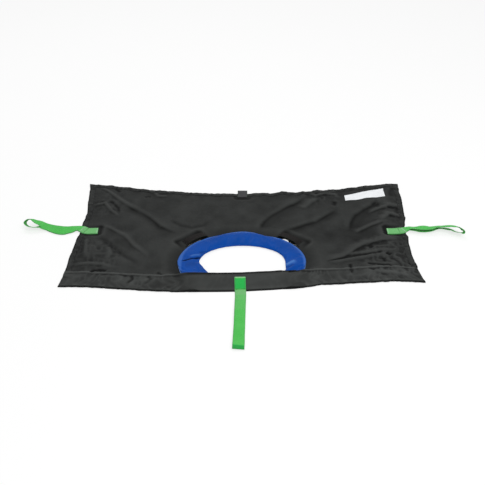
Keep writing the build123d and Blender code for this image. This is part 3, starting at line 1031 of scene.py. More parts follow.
class TransferSheetSettings(bpy.types.PropertyGroup):
    """Sizes and colours of the sheet and its parts"""

    fold_height: bpy.props.FloatProperty(
        name="Fold height", description="How high the cloth's folds stand, as a share of the usual height",
        default=1.0, min=0.0, max=2.0, subtype="FACTOR")
    grid_spacing: length_value("Cloth detail", "Distance between the cloth's mesh points", 0.0029)
    webbing_width: length_value("Webbing width", "Width of the loops and keepers", 0.025)
    webbing_thickness: length_value("Webbing thickness", "Thickness of the green webbing", 0.0012)
    stitch_length: length_value("Stitch length", "Length of one stitch of the seams", 0.0026)
    nylon_colour: colour_value("Nylon", "Colour of the coated nylon", (0.0245, 0.0258, 0.0250))
    vinyl_colour: colour_value("Vinyl", "Colour of the padded ring's cover", (0.0030, 0.056, 0.30))
    # The piping is a real welt, coloured paler and greyer than the vinyl so that it shows a painted
    # highlight along the ring's outer edge.
    piping_colour: colour_value("Piping", "Colour of the thin welt round the ring", (0.085, 0.16, 0.36))
    webbing_colour: colour_value("Webbing", "Colour of the pull loops", (0.076, 0.51, 0.087))
    webbing_edge_colour: colour_value("Webbing wear", "Colour of the webbing's wear", (0.14, 0.58, 0.14))
    keeper_colour: colour_value("Keepers", "Colour of the black webbing", (0.017, 0.0155, 0.015))
    label_colour: colour_value("Label", "Colour of the label cloth", (0.84, 0.86, 0.88))
    black_thread_colour: colour_value("Black thread", "Colour of the sheet's seams", (0.020, 0.020, 0.021))
    green_thread_colour: colour_value("Green thread", "Colour of the loops' bar tacks", (0.42, 0.62, 0.45))


class TransferSheetStage(bpy.types.PropertyGroup):
    """Floor, lights and camera"""

    floor_colour: colour_value("Floor", "Colour of the floor", (0.97, 0.97, 0.97))
    ambient: bpy.props.FloatProperty(
        name="Ambient light", description="Strength of the light from all sides", default=0.55, min=0.0)
    key_power: power_value("Key light", "Power of the large lamp over the sheet", 14.0)
    fill_power: power_value("Fill light", "Power of the lamp beside the camera", 34.0)
    focal_length: bpy.props.FloatProperty(
        name="Focal length", description="Focal length of the camera in millimetres", default=59.38, min=1.0)


def settings():
    return bpy.context.scene.transfer_sheet


# ---- Pieces ----


class TSHEET_OT_stage(bpy.types.Operator):
    """Add the floor, the lights and the camera"""

    bl_idname = "transfer_sheet.stage"
    bl_label = "Stage"

    CAMERA_PLACE = (0, -1.501, 1.085)
    CAMERA_TILT = 34.48

    def execute(self, context):
        values = context.scene.transfer_sheet_stage
        deselect()
        bpy.ops.mesh.primitive_plane_add(size=60, location=(0, 0, -0.0002))
        floor = context.object
        floor.name = "studio_floor"
        floor.data.materials.append(floor_material(values.floor_colour))
        self.add_world(context.scene, values.ambient)
        self.add_lamp("key_lamp", (-0.4, 1.35, 2.2), values.key_power, 1.2)
        self.add_lamp("fill_lamp", (0.9, -1.25, 2.2), values.fill_power, 1.6)
        camera = bpy.data.objects.new("camera", bpy.data.cameras.new("camera"))
        context.scene.collection.objects.link(camera)
        camera.data.lens = values.focal_length
        camera.data.sensor_width = 36.0
        camera.location = self.CAMERA_PLACE
        camera.rotation_euler = (math.radians(90 - self.CAMERA_TILT), 0, 0)
        context.scene.camera = camera
        context.scene.view_settings.view_transform = "Standard"
        return {"FINISHED"}

    def add_lamp(self, name, place, power, size):
        lamp = bpy.data.objects.new(name, bpy.data.lights.new(name, "AREA"))
        bpy.context.scene.collection.objects.link(lamp)
        lamp.data.shape = "DISK"
        lamp.data.size = size
        lamp.data.energy = power
        lamp.location = place
        lamp.rotation_euler = (Vector((0, 0.1, 0)) - Vector(place)).to_track_quat("-Z", "Y").to_euler()

    def add_world(self, scene, ambient):
        """Light from all sides, which the camera, mirrors and glass see at full strength."""
        world = bpy.data.worlds.new("studio")
        world.use_nodes = True
        scene.world = world
        nodes, links = world.node_tree.nodes, world.node_tree.links
        background = nodes["Background"]
        background.inputs["Color"].default_value = (1, 1, 1, 1)
        path = nodes.new("ShaderNodeLightPath")
        seen = path.outputs["Is Camera Ray"]
        for ray in ("Is Glossy Ray", "Is Transmission Ray"):
            either = nodes.new("ShaderNodeMath")
            either.operation = "MAXIMUM"
            links.new(seen, either.inputs[0])
            links.new(path.outputs[ray], either.inputs[1])
            seen = either.outputs[0]
        strength = nodes.new("ShaderNodeMapRange")
        links.new(seen, strength.inputs["Value"])
        strength.inputs["To Min"].default_value = ambient
        strength.inputs["To Max"].default_value = 1.0
        links.new(strength.outputs[0], background.inputs["Strength"])


class TSHEET_OT_cloth(bpy.types.Operator):
    """Add the nylon sheet, with its opening and the two slits"""

    bl_idname = "transfer_sheet.cloth"
    bl_label = "Nylon sheet"

    # Rounds of smoothing that the cloth's rise is compared after, for narrow and for wide hollows, which set
    # its painted light and shade.
    NARROW_ROUNDS, WIDE_ROUNDS = 9, 48

    def execute(self, context):
        values = settings()
        columns = int(2 * HALF_WIDTH / values.grid_spacing) + 1
        rows = int((BACK_CORNER_Y - FRONT_Y) / values.grid_spacing) + 1
        share = np.linspace(-1, 1, columns)[None, :]
        depth = np.linspace(0, 1, rows)[:, None]
        flat_x = share * (HALF_WIDTH - EDGE_INSET)
        y = (front_edge(flat_x) + EDGE_INSET) * (1 - depth) + (back_edge(flat_x) - EDGE_INSET) * depth
        x = share * (side_edge(y) - EDGE_INSET)
        piece = shaped_grid("nylon_sheet", raised(np.stack([x, y], -1), PANEL_TOP))
        self.mark_hollows(piece, x, y, cloth_rise(x, y))
        self.cut(piece)
        context.scene["flat_area"] = sum(face.area for face in piece.data.polygons)
        points = vertex_points(piece.data)
        lying = draped(points)
        lying[:, 2] += front_lift(points[:, 0], points[:, 1])
        place_vertices(piece, lying)
        # The high cloth is marked for its painted highlight.
        mark(piece, "painted_highlight", smooth_step(2.5 * MM, 6.5 * MM, lying[:, 2] - PANEL_TOP))
        apply_modifier(piece, "SOLIDIFY", thickness=CLOTH_THICKNESS, offset=-1)
        finish_piece(piece, materials()["nylon"], "sheet")
        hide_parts("sheet_panel")
        return {"FINISHED"}

    def mark_hollows(self, piece, x, y, rise):
        """Marks where the cloth lies lower or stands higher than the cloth round it, for painted shade in
        its hollows and a painted highlight on its crests.
        """
        level, levels = rise, []
        for _ in range(self.WIDE_ROUNDS):
            wide = np.pad(level, 1, mode="edge")
            level = (wide[:-2, 1:-1] + wide[2:, 1:-1] + wide[1:-1, :-2] + wide[1:-1, 2:] + 4 * level) / 8
            levels.append(level)
        narrow, broad = levels[self.NARROW_ROUNDS - 1], levels[-1]
        painted_shading = 0.60 * (rise - narrow) / (0.8 * MM) + 1.0 * (rise - broad) / (2.0 * MM)
        # A broad patch of painted shade on the right of the sheet, towards its back.
        painted_shading = painted_shading - 0.4 * np.exp(-(((x / MM - 285) / 85) ** 2) - ((y / MM - 115) / 75) ** 2)
        mark(piece, "painted_shading", np.clip(painted_shading, -1, 1))

    def cut(self, piece):
        """Removes the opening and the slits, and draws the cut edges onto their outlines."""
        points = vertex_points(piece.data)
        opening = from_opening(points[:, 0], points[:, 1]) - RING_OVERLAP
        slits = [self.from_slit(points[:, :2], side) for side in (-1, 1)]
        inside = (opening < 0) | (slits[0][0] < 0) | (slits[1][0] < 0)
        corners = np.array([face.vertices[:] for face in piece.data.polygons])
        drop = inside[corners].sum(1) >= 3
        edge_points = np.intersect1d(np.unique(corners[drop]), np.unique(corners[~drop]))
        outline, facing = opening_outline(RIM_POINTS)
        rim = outline + facing * RING_OVERLAP
        for index in edge_points:
            place = points[index, :2]
            if abs(opening[index]) < 0.01:
                place = rim[np.argmin(np.hypot(*(rim - place).T))]
            for distance, away in slits:
                if abs(distance[index]) < 0.006:
                    place = place - away[index] * distance[index]
            points[index, :2] = place
        self.close_slits(points)
        place_vertices(piece, points)
        self.delete_faces(piece, drop)

    def from_slit(self, places, side):
        """Distance outwards from that side's slit, below 0 inside it, and the direction away from it."""
        spot = np.array(keeper_spot(side, SLIT_REACH))
        along = keeper_ways(side)[1]
        half = SLIT_LENGTH / 2 - SLIT_WIDTH / 2
        near = np.clip((places - spot) @ along, -half, half)
        gap = places - spot - near[:, None] * along
        distance = np.hypot(*gap.T)
        return distance - SLIT_WIDTH / 2, gap / np.maximum(distance, 1e-9)[:, None]

    def delete_faces(self, piece, drop):
        select_alone(piece)
        for parts in (piece.data.vertices, piece.data.edges):
            parts.foreach_set("select", np.zeros(len(parts), bool))
        piece.data.polygons.foreach_set("select", drop)
        bpy.ops.object.mode_set(mode="EDIT")
        bpy.ops.mesh.select_mode(type="FACE")
        bpy.ops.mesh.delete(type="FACE")
        bpy.ops.object.mode_set(mode="OBJECT")

    def close_slits(self, points):
        """Draws the lips of the slits together, but for one open place on the right."""
        for side in (-1, 1):
            spot = np.array(keeper_spot(side, SLIT_REACH))
            away, along = keeper_ways(side)
            run, off = (points[:, :2] - spot) @ along, (points[:, :2] - spot) @ away
            closing = 1 - 0.95 * bell(run, 0.0145, 0.0075, 4) * (side > 0)
            closing = closing * smooth_step(SLIT_LENGTH / 2 + 0.012, SLIT_LENGTH / 2 - 0.004, np.abs(run))
            pull = (SLIT_WIDTH / 2 - 0.0005) * closing * smooth_step(0.022, SLIT_WIDTH / 2, np.abs(off))
            points[:, :2] -= (np.sign(off) * pull)[:, None] * away


class TSHEET_OT_hems(bpy.types.Operator):
    """Add the folded hems along the sides and the back"""

    bl_idname = "transfer_sheet.hems"
    bl_label = "Hems"

    # The hem's section round: distance in from the sheet's edge, and height.
    SECTION = np.array([
        (14.0, 1.0), (14.0, 1.5), (13.6, 1.8), (11.5, 1.75), (9.0, 1.9), (6.5, 1.95), (4.0, 2.0), (2.2, 2.0),
        (1.0, 1.85), (0.3, 1.5), (0.0, 1.0), (0.2, 0.45), (0.8, 0.1), (1.6, 0.05), (1.7, 1.0), (14.0, 1.0),
    ]) * MM
    PUCKER = 0.35 * MM

    def execute(self, context):
        reach_y = back_edge(HALF_WIDTH) - HEM_WIDTH + 0.001
        start_y = front_edge(HALF_WIDTH) + BAND_WIDTH - 0.006
        y = np.linspace(start_y, reach_y, SIDE_HEM_ROWS)
        for side, name in ((-1, "left"), (1, "right")):
            edge = np.stack([side * side_edge(y), y], 1)
            if side < 0:
                edge = edge[::-1]
            self.add_hem(f"{name}_side_hem", edge, f"{name}_hem")
        x = np.linspace(HALF_WIDTH, -HALF_WIDTH, BACK_HEM_ROWS)
        self.add_hem("back_edge_hem", np.stack([x, back_edge(x)], 1), "back_hem")
        return {"FINISHED"}

    def add_hem(self, name, edge, node):
        """Adds the hem along an edge, which runs with the sheet on its left."""
        ahead = unit(np.gradient(edge, axis=0))
        inward = np.stack([-ahead[:, 1], ahead[:, 0]], 1)
        flat = swept(edge, inward, self.SECTION[:, 0])
        depth, height = self.SECTION[None, :, 0], self.SECTION[None, :, 1]
        upper = height > 1.2 * MM
        run = run_along(edge)
        pucker = self.PUCKER * variation(run[:, None] / 0.006, depth / 0.02, 11)
        height = np.where(upper, height + np.maximum(pucker, -0.0003), height)
        piece = shaped_grid(name, draped(within_sides(raised(flat, height))), self.SECTION[:, 0], run)
        seam = bell(depth, HEM_SEAM, 0.002)
        middle = bell(edge[:, :1], -0.050, 0.060, 4) * (name == "back_edge_hem")
        rim = 0.0038 if name == "back_edge_hem" else 0.0030
        pale = smooth_step(0.0015, 0.003, depth) * smooth_step(0.011, 0.009, depth)
        # Painted light and shade on the hem's upper face: painted highlight on the crests of its puckers and
        # on the back hem's flat middle, painted shade between the puckers, along its seam and along its
        # folded outer edge.
        painted_shading = pucker / self.PUCKER * 0.8 - 0.7 * seam + 0.2
        painted_shading = painted_shading + middle * (1.3 * pale - 0.8 * seam) - 2 * smooth_step(rim, rim / 2, depth)
        mark(piece, "painted_shading", np.where(upper, np.clip(painted_shading, -1, 1), 0))
        closed_shell(piece)
        finish_piece(piece, materials()["nylon"], "sheet")
        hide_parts(node)


class TSHEET_OT_front_band(bpy.types.Operator):
    """Add the folded band along the front edge, which passes over the front of the ring"""

    bl_idname = "transfer_sheet.front_band"
    bl_label = "Front band"

    # Height of the sharpest ripples, and how many of the section's points are on its upper side.
    RIPPLE = 1.2 * MM
    UPPER_POINTS = 30

    def execute(self, context):
        x = np.linspace(-HALF_WIDTH, HALF_WIDTH, BAND_ROWS)
        front = front_edge(x)
        top = band_top(x)
        section = np.array([self.section(height) for height in top])
        flat_y = front[:, None] + section[..., 0]
        flat_x = (x / HALF_WIDTH)[:, None] * side_edge(flat_y)
        bed = band_bed(flat_x, np.clip(flat_y, front[:, None] + 0.016, None)) - PANEL_TOP
        share = np.clip(section[..., 1] / top[:, None], 0, 1)
        height = section[..., 1] - (top[:, None] - BAND_THICKNESS - PANEL_TOP - bed) * share
        free = smooth_step(0.105, 0.160, np.abs(flat_x))
        slant = flat_x / 0.011 + 1.6 * variation(flat_x / 0.05, flat_y / 0.022, 16)
        ripple = self.RIPPLE * (1 - np.abs(variation(slant, flat_y / 0.017, 13))) ** 3
        ripple = ripple + 0.35 * MM * variation(flat_x / 0.02, flat_y / 0.018, 14)
        height = height + ripple * share * (0.25 + 0.75 * free)
        points = draped(np.stack([flat_x, flat_y, height], -1))
        piece = shaped_grid("front_band_cloth", points, np.arange(section.shape[1]) * 0.002, x)
        upper = np.arange(section.shape[1])[None, :] < self.UPPER_POINTS
        # The band's upper face gets painted light and shade from its edges, its ripples and the folds below
        # it.
        painted_shading = self.wear(section[..., 0], free, ripple) + self.hollows(flat_x, flat_y)
        mark(piece, "painted_shading", np.where(upper, np.clip(painted_shading, -1, 1), 0))
        closed_shell(piece)
        finish_piece(piece, materials()["band"], "sheet")
        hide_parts("front_band")
        return {"FINISHED"}

    def wear(self, depth, free, ripple):
        """Painted light and shade on the band's upper face, by the distance in and by its ripples. Beside
        the ring it has a painted highlight along its inner edge and painted shade in a line just inside it;
        over the ring it is painted a little lighter, with a dark painted shadow along its inner edge. Its
        front part and its ripples get a painted highlight, and its rounded front edge painted shade.
        """
        painted_shading = 1.0 * smooth_step(0.0490, 0.0505, depth) - 0.8 * bell(depth, 0.0455, 0.0024)
        painted_shading = painted_shading * np.clip(free + 0.2, 0, 1) + 0.45 * smooth_step(0.014, 0.003, depth)
        painted_shading = painted_shading + 0.7 * (ripple / self.RIPPLE - 0.25) * (0.4 + 0.6 * free)
        painted_shading = painted_shading + (1 - free) * (0.2 - 2.2 * smooth_step(0.0465, 0.0490, depth))
        return painted_shading - 2.5 * smooth_step(0.0044, 0.0026, depth)

    def hollows(self, x, y):
        """How far the cloth below stands over or under the cloth 10 mm round it, for painted light and shade
        on the band: a painted highlight over its crests and painted shade over its hollows.
        """
        turns = np.linspace(0, 2 * math.pi, 8, endpoint=False)
        ring = [cloth_rise(x + 0.010 * math.cos(a), y + 0.010 * math.sin(a)) for a in turns]
        return 0.8 * (cloth_rise(x, y) - np.mean(ring, axis=0)) / MM

    def section(self, top):
        """The band's section round: distance from the front edge and height, for that height of its top."""
        inner = 0.0013
        turn = np.linspace(0, math.pi / 2, 6)
        outer = [(LIP * (1 - math.cos(a)), 0.0002 + (LIP - 0.0002) * math.sin(a)) for a in turn]
        outer += [(t, band_slope(t, top)) for t in np.linspace(LIP, 0.042, 18)[1:]]
        outer += [(t, top) for t in (0.0440, 0.0460, 0.0480, 0.0500, 0.0520, BAND_WIDTH - 0.0008)]
        rim = [(BAND_WIDTH, top - 0.0004), (BAND_WIDTH, top - 0.0011)]
        under = [(max(t, inner), max(z - inner, 0.0004)) for t, z in outer[::-1]]
        return outer + rim + under + outer[:1]


class TSHEET_OT_ring(bpy.types.Operator):
    """Add the padded vinyl ring round the opening, and its piping"""

    bl_idname = "transfer_sheet.ring"
    bl_label = "Padded ring"

    # The cover's swelling: pressure, length of the simulation, and the most that a point moves (m).
    PRESSURE = 4.0
    FRAMES = 20
    SWELLING_LIMIT = 0.0030

    # Creases of the cover: where each runs, its height, and its spread to the left and the right (mm).
    CREASES = [
        ([(-142, -9), (-128, -6), (-112, 0), (-98, 7), (-84, 15)], -5.0, 2.2, 2.4),
        ([(-122, 7), (-108, 12), (-94, 16)], 1.7, 3.0, 3.0),
        ([(90, -26), (103, -20), (124, -8)], 3.0, 3.0, 8.0),
        ([(96, -33), (108, -30), (120, -23)], -1.0, 5.0, 4.0),
        ([(-102, 22), (-94, 26), (-84, 31)], -0.9, 3.0, 4.0),
        ([(-134, -26), (-116, -24), (-102, -30)], -0.5, 9.0, 9.0),
    ]

    def execute(self, context):
        outline, facing = opening_outline(RING_ALONG)
        turn = np.linspace(0, 2 * math.pi, RING_ROUND + 1)
        cosine, sine = np.cos(turn), np.sin(turn)
        half = RING_WIDTH / 2
        across = half - half * np.sign(cosine) * np.abs(cosine) ** 0.82
        top = RING_TOP - RING_BOTTOM - SEAM_Z
        lift = np.where(sine > 0, top * np.abs(sine) ** 0.8, -SEAM_Z * np.abs(sine) ** 0.45)
        points = raised(swept(outline, facing, across), RING_BOTTOM + SEAM_Z + lift)
        points = np.concatenate([points, points[:1]])
        piece = closed_shell(shaped_grid("padded_ring", self.settled(points)))
        self.inflate(context, piece)
        apply_modifier(piece, "SUBSURF", levels=2, render_levels=2)
        self.crease(piece)
        finish_piece(piece, materials()["vinyl"], "sheet")
        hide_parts("ring_foam", "ring_cover_top", "ring_cover_base")
        self.add_piping()
        return {"FINISHED"}

    def add_piping(self):
        """The thin round welt in the ring's outer seam."""
        outline, facing = opening_outline(PIPING_ALONG)
        turn = np.linspace(0, 2 * math.pi, PIPING_ROUND + 1)
        flat = swept(outline, facing, RING_WIDTH + 0.0007 + WELT_RADIUS * np.cos(turn))
        points = self.settled(raised(flat, WELT_Z + WELT_RADIUS * np.sin(turn)))
        piece = closed_shell(shaped_grid("ring_piping", np.concatenate([points, points[:1]])))
        finish_piece(piece, materials()["piping"], "sheet")
        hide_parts("ring_welt")

    def settled(self, points):
        """The ring's points, moved as the soft ring has settled: its front part with the band's front edge,
        its front corners inwards, the middle of its back outwards, and all below the band pressed down."""
        x, y, z = points[..., 0], points[..., 1], points[..., 2]
        distance = from_opening(x, y)
        outer, inner = smooth_step(0.016, 0.047, distance), smooth_step(0.030, 0.0, distance)
        front = table_value(FRONT_EDGE, x / MM) * MM
        move_y = (front + 0.0006) * smooth_step(-0.064, -0.100, y)
        ends = smooth_step(0.09, 0.12, np.abs(x))
        move_x = -np.sign(x) * 0.006 * outer * smooth_step(0.000, -0.052, y) * ends
        move_x = move_x + 0.014 * inner * smooth_step(-0.004, -0.046, y) * smooth_step(-0.070, -0.088, x)
        move_x = move_x - 0.0018 * inner * bell(y, -0.006, 0.016) * smooth_step(-0.070, -0.085, x)
        back = smooth_step(0.030, 0.058, y)
        corners = bell(np.abs(x), 0.052, 0.020) * np.where(x > 0, 1.4, 1.0)
        move_y = move_y + back * outer * (0.0048 * bell(x, 0, 0.032) - 0.0045 * corners)
        move_y = move_y - back * inner * 0.003 * bell(x, 0, 0.055)
        left = bell(y, -0.012, 0.045) * smooth_step(-0.09, -0.12, x)
        move_x = move_x - 0.0035 * left * outer
        depth = y - front_edge(x)
        room = band_slope(depth, band_top(x)) - BAND_THICKNESS - 0.0010
        pressed = np.minimum(z, np.maximum(room, 0.0016))
        z = z + (pressed - z) * smooth_step(BAND_WIDTH + 0.004, BAND_WIDTH - 0.004, depth)
        return np.stack([x + move_x, y + move_y, z], -1)

    def inflate(self, context, piece):
        """Swells the cover over its foam by a short cloth simulation. The underside and the part below the
        band stay where they are."""
        rest = vertex_points(piece.data)
        group = piece.vertex_groups.new(name="held")
        held = np.maximum(smooth_step(0.0045, 0.0020, rest[:, 2]), smooth_step(-0.048, -0.058, rest[:, 1]))
        for index, weight in enumerate(held):
            group.add([index], float(weight), "REPLACE")
        cloth = piece.modifiers.new("Cloth", "CLOTH")
        vinyl = cloth.settings
        vinyl.quality = 6
        vinyl.mass = 0.3
        vinyl.tension_stiffness = vinyl.compression_stiffness = 18
        vinyl.shear_stiffness = 8
        vinyl.bending_stiffness = 0.4
        vinyl.use_pressure = True
        vinyl.uniform_pressure_force = self.PRESSURE
        vinyl.shrink_min = -0.03
        vinyl.vertex_group_mass = "held"
        vinyl.effector_weights.gravity = 0.0
        cloth.collision_settings.use_collision = False
        for number in range(1, self.FRAMES + 1):
            context.scene.frame_set(number)
        swollen = piece.evaluated_get(context.evaluated_depsgraph_get())
        moved = vertex_points(swollen.data) - rest
        piece.modifiers.remove(cloth)
        context.scene.frame_set(1)
        length = np.linalg.norm(moved, axis=1)
        limit = self.SWELLING_LIMIT * (1 - held)
        moved *= np.minimum(1, limit / np.maximum(length, 1e-9))[:, None]
        place_vertices(piece, rest + moved)

    def crease(self, piece):
        """Presses the cover's creases and small wrinkles into it, and marks a painted highlight along its
        outer rim and painted light and shade on its creases.
        """
        points = vertex_points(piece.data)
        x, y = points[:, 0] / MM, points[:, 1] / MM
        upper = smooth_step(0.004, 0.009, points[:, 2]) * smooth_step(-62, -52, y)
        sunk = sum(fold_height(x, y, line, *sizes) for line, *sizes in self.CREASES)
        nearest, distance = opening_place(points[:, 0], points[:, 1])
        wrinkle = 0.28 * variation(nearest / 4.0, distance / 0.03, 21)
        wrinkle = wrinkle + 0.35 * variation(nearest / 11.0, distance / 0.05, 22)
        inner = smooth_step(0.030, 0.004, distance)
        points[:, 2] += upper * (sunk + wrinkle * (0.4 + 0.9 * inner)) * MM
        place_vertices(piece, points)
        # A painted highlight along the ring's outer rim, on its upper side.
        mark(piece, "painted_highlight", smooth_step(0.039, 0.045, distance) * smooth_step(0.003, 0.005, points[:, 2]))
        # Painted highlight on the crests of the creases and painted shade in their grooves.
        mark(piece, "painted_shading", np.clip(sunk / 2.6, -1, 1) * upper)


class TSHEET_OT_keepers(bpy.types.Operator):
    """Add the black webbing keepers beside the ring"""

    bl_idname = "transfer_sheet.keepers"
    bl_label = "Keepers"

    # The keeper's arch: share of its half length, height (mm) and tilt (degrees). It ends 2 mm further out.
    ARCH = [
        (-1, 1.7, 0), (-0.93, 1.9, 0), (-0.84, 4.2, -3), (-0.66, 6.6, -8), (-0.3, 8.0, -9), (0.1, 8.4, -9),
        (0.5, 7.6, -9), (0.74, 6.0, -7), (0.86, 3.8, -3), (0.94, 1.9, 0), (1, 1.7, 0),
    ]

    def execute(self, context):
        width = settings().webbing_width
        end = KEEPER_LENGTH / 2 / MM + 2
        for side, name in ((-1, "left"), (1, "right")):
            middle, away, along = keeper_lie(side)
            knots = [(*(middle / MM + along * share * end), z, tilt) for share, z, tilt in self.ARCH]
            piece, _ = strap(f"{name}_keeper_webbing", knots, KEEPER_ROWS, (*away, 0), width,
                             BLACK_WEBBING_THICKNESS)
            finish_piece(piece, materials()["black_webbing"], "sheet",
                         angle=STRAP_SMOOTH_ANGLE)
            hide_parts(f"{name}_keeper")
        return {"FINISHED"}


class TSHEET_OT_pull_loops(bpy.types.Operator):
    """Add the webbing loops, left, right, front and rear, and the threads that sew them on"""

    bl_idname = "transfer_sheet.pull_loops"
    bl_label = "Pull loops"

    # Each knot: distance out from the sheet's edge, sideways shift, height (mm) and tilt (degrees).
    LEFT_UPPER = [
        (-42.9, -4.5, 2.9, 0), (-25.5, -5.3, 2.9, 0), (-15.1, -5.7, 3.7, 0), (-3.4, 2.0, 3.9, 1),
        (7.2, 4.5, 4.6, -8), (17.4, 2.3, 4.6, -2), (26.8, -3.1, 5.5, 5), (36.5, -6.8, 6.5, 13),
        (43.7, -9.3, 7.6, 19), (53.9, -6.1, 7.2, 15), (65.6, -0.2, 6.2, 7), (77.6, 6.5, 5.6, 2),
        (89.4, 13.2, 6.2, -3), (101.1, 20.5, 8.5, -9), (107.6, 20.2, 11, -13), (114.4, 20.6, 14, -18),
        (119.1, 20.5, 17, -25), (124.1, 20.2, 19.5, -32), (128.6, 18.2, 20.5, -34.5),
        (132.7, 16.2, 19.5, -34.5), (135.7, 14.6, 17, -34.5), (136.9, 13.4, 14, -34.5),
    ]
    LEFT_LOWER = [
        (135.0, 10.9, 11.5, -34.5), (130.1, 7.1, 9.3, -34.5), (123.1, 4.7, 8, -34.5), (115.1, 3.5, 7.6, -33),
        (106.9, 5.0, 7.2, -28), (98.7, 7.3, 6, -20), (88.5, 7.3, 4.2, -10), (77.6, 6.3, 4.0, 2),
        (65.6, -0.2, 4.5, 7), (53.9, -6.1, 5.6, 15), (43.7, -9.3, 6.0, 19), (36.5, -6.8, 4.9, 13),
        (26.8, -3.1, 4.0, 5), (17.4, 2.3, 3.2, -2), (7.2, 4.5, 3.2, -8), (-3.4, 2.0, 2.6, 1),
        (-15.1, -5.7, 2.4, 0), (-25.5, -5.3, 1.6, 0), (-42.9, -4.5, 1.6, 0),
    ]
    RIGHT_UPPER = [
        (-43.2, -6.2, 2.9, 0), (-26.4, -6.2, 2.9, 0), (-8.1, -4.5, 3.9, 0), (1.2, -0.8, 4.7, -8),
        (10.2, 1.6, 6.5, -17), (16.8, 0.4, 7.9, -22), (26.9, -2.2, 9.6, -20), (35.6, -3.9, 11, -13),
        (47.7, -4.4, 11.4, -9), (61.5, -3.6, 10.8, -16), (72.2, 0.1, 10.6, -25), (82.6, 0.5, 11.6, -25),
        (92.7, -0.9, 12.8, -25), (102.4, -2.1, 14.5, -24), (112.2, -4.3, 16.2, -24),
        (119.8, -8.6, 17.6, -24), (127.3, -13.5, 18.2, -28), (133.1, -18.7, 17, -33),
        (137.0, -21.0, 14.8, -34.5), (138.4, -22.1, 12, -34.5),
    ]
    RIGHT_LOWER = [
        (136.3, -21.9, 9.4, -34.5), (130.8, -20.1, 7.8, -33), (124.5, -17.4, 7.4, -29),
        (118.6, -13.3, 7, -26), (112.9, -7.4, 6.6, -22), (105.4, -2.7, 6.4, -21), (96.9, -1.1, 6.8, -24),
        (88.3, 0.0, 7, -27), (79.5, 0.5, 7, -24), (71, -1, 6.4, -18), (61.5, -3.6, 5.4, -13),
        (47.7, -5.0, 4.6, -11), (35.6, -5.0, 4.7, -12), (26.9, -3.2, 5.0, -15), (16.8, -0.6, 5.2, -16),
        (10.2, 1.4, 4.6, -15), (1.2, -0.8, 3.3, -8), (-8.1, -4.5, 2.5, 0), (-26.4, -6.2, 1.6, 0),
        (-43.2, -6.2, 1.6, 0),
    ]
    FRONT_UPPER = [
        (-36, -5.6, 15.4, 0), (-28, -5.45, 13.8, 0), (-20, -5.3, 11.1, 0), (-12, -5.0, 7.5, 0),
        (-6, -4.8, 4.9, 0), (0, -4.6, 3.8, 0), (8, -4.3, 4.2, 1), (22, -4.3, 5.2, 3), (36, -4.6, 5.9, 5),
        (60, -5.0, 6.6, 8), (90, -5.6, 7.0, 9), (120, -6.2, 6.9, 9), (150, -7.2, 6.1, 8),
        (168, -7.8, 6.0, 7), (180, -8.3, 6.4, 7), (187.5, -8.5, 5.0, 7),
    ]
    FRONT_LOWER = [
        (187, -8.5, 3.0, 7), (180, -8.4, 2.6, 7), (168, -7.8, 3.0, 7), (150, -7.2, 3.3, 8),
        (120, -6.2, 3.9, 9), (90, -5.6, 4.1, 9), (60, -5.0, 3.4, 8), (36, -4.6, 2.3, 5), (22, -4.3, 2.0, 3),
        (8, -4.3, 1.7, 1), (0, -4.6, 2.3, 0), (-6, -4.8, 3.6, 0), (-12, -5.0, 6.2, 0), (-20, -5.3, 9.8, 0),
        (-28, -5.45, 12.5, 0), (-36, -5.6, 14.1, 0),
    ]
    REAR_UPPER = [
        (-18, 0, 3.8, 0), (-8, 0, 3.9, 0), (0, 0, 4.4, 0), (5, 0, 4.9, 0), (10, 0, 4.6, 0),
        (13.8, 0, 3.6, 0),
    ]
    REAR_LOWER = [
        (14.3, 0, 2.3, 0), (11.5, 0, 1.3, 0), (7, 0, 1.1, 0), (2, 0, 1.5, 0), (-4, 0, 2.5, 0),
        (-8, 0, 2.6, 0), (-18, 0, 2.5, 0),
    ]

    # Paler and deeper bands: start and end along the strap (m), and tone. The side loops' tails are paler.
    # On the front loop, the deeper band over its tail on the band's slope and the deep band where it turns
    # back at its far end are painted shade, and the pale bands past the band's edge, fading out, and on its
    # cut end are painted highlight.
    SIDE_TONES = [(-1, 0.044, 0.85)]
    FRONT_TONES = [
        (0.0045, 0.0325, -1.0), (0.0345, 0.052, 0.9), (0.052, 0.072, 0.5), (0.072, 0.105, 0.25),
        (0.218, 0.236, -1.4), (-1, 0.0034, 1.0),
    ]
    FRONT_CURL = 42

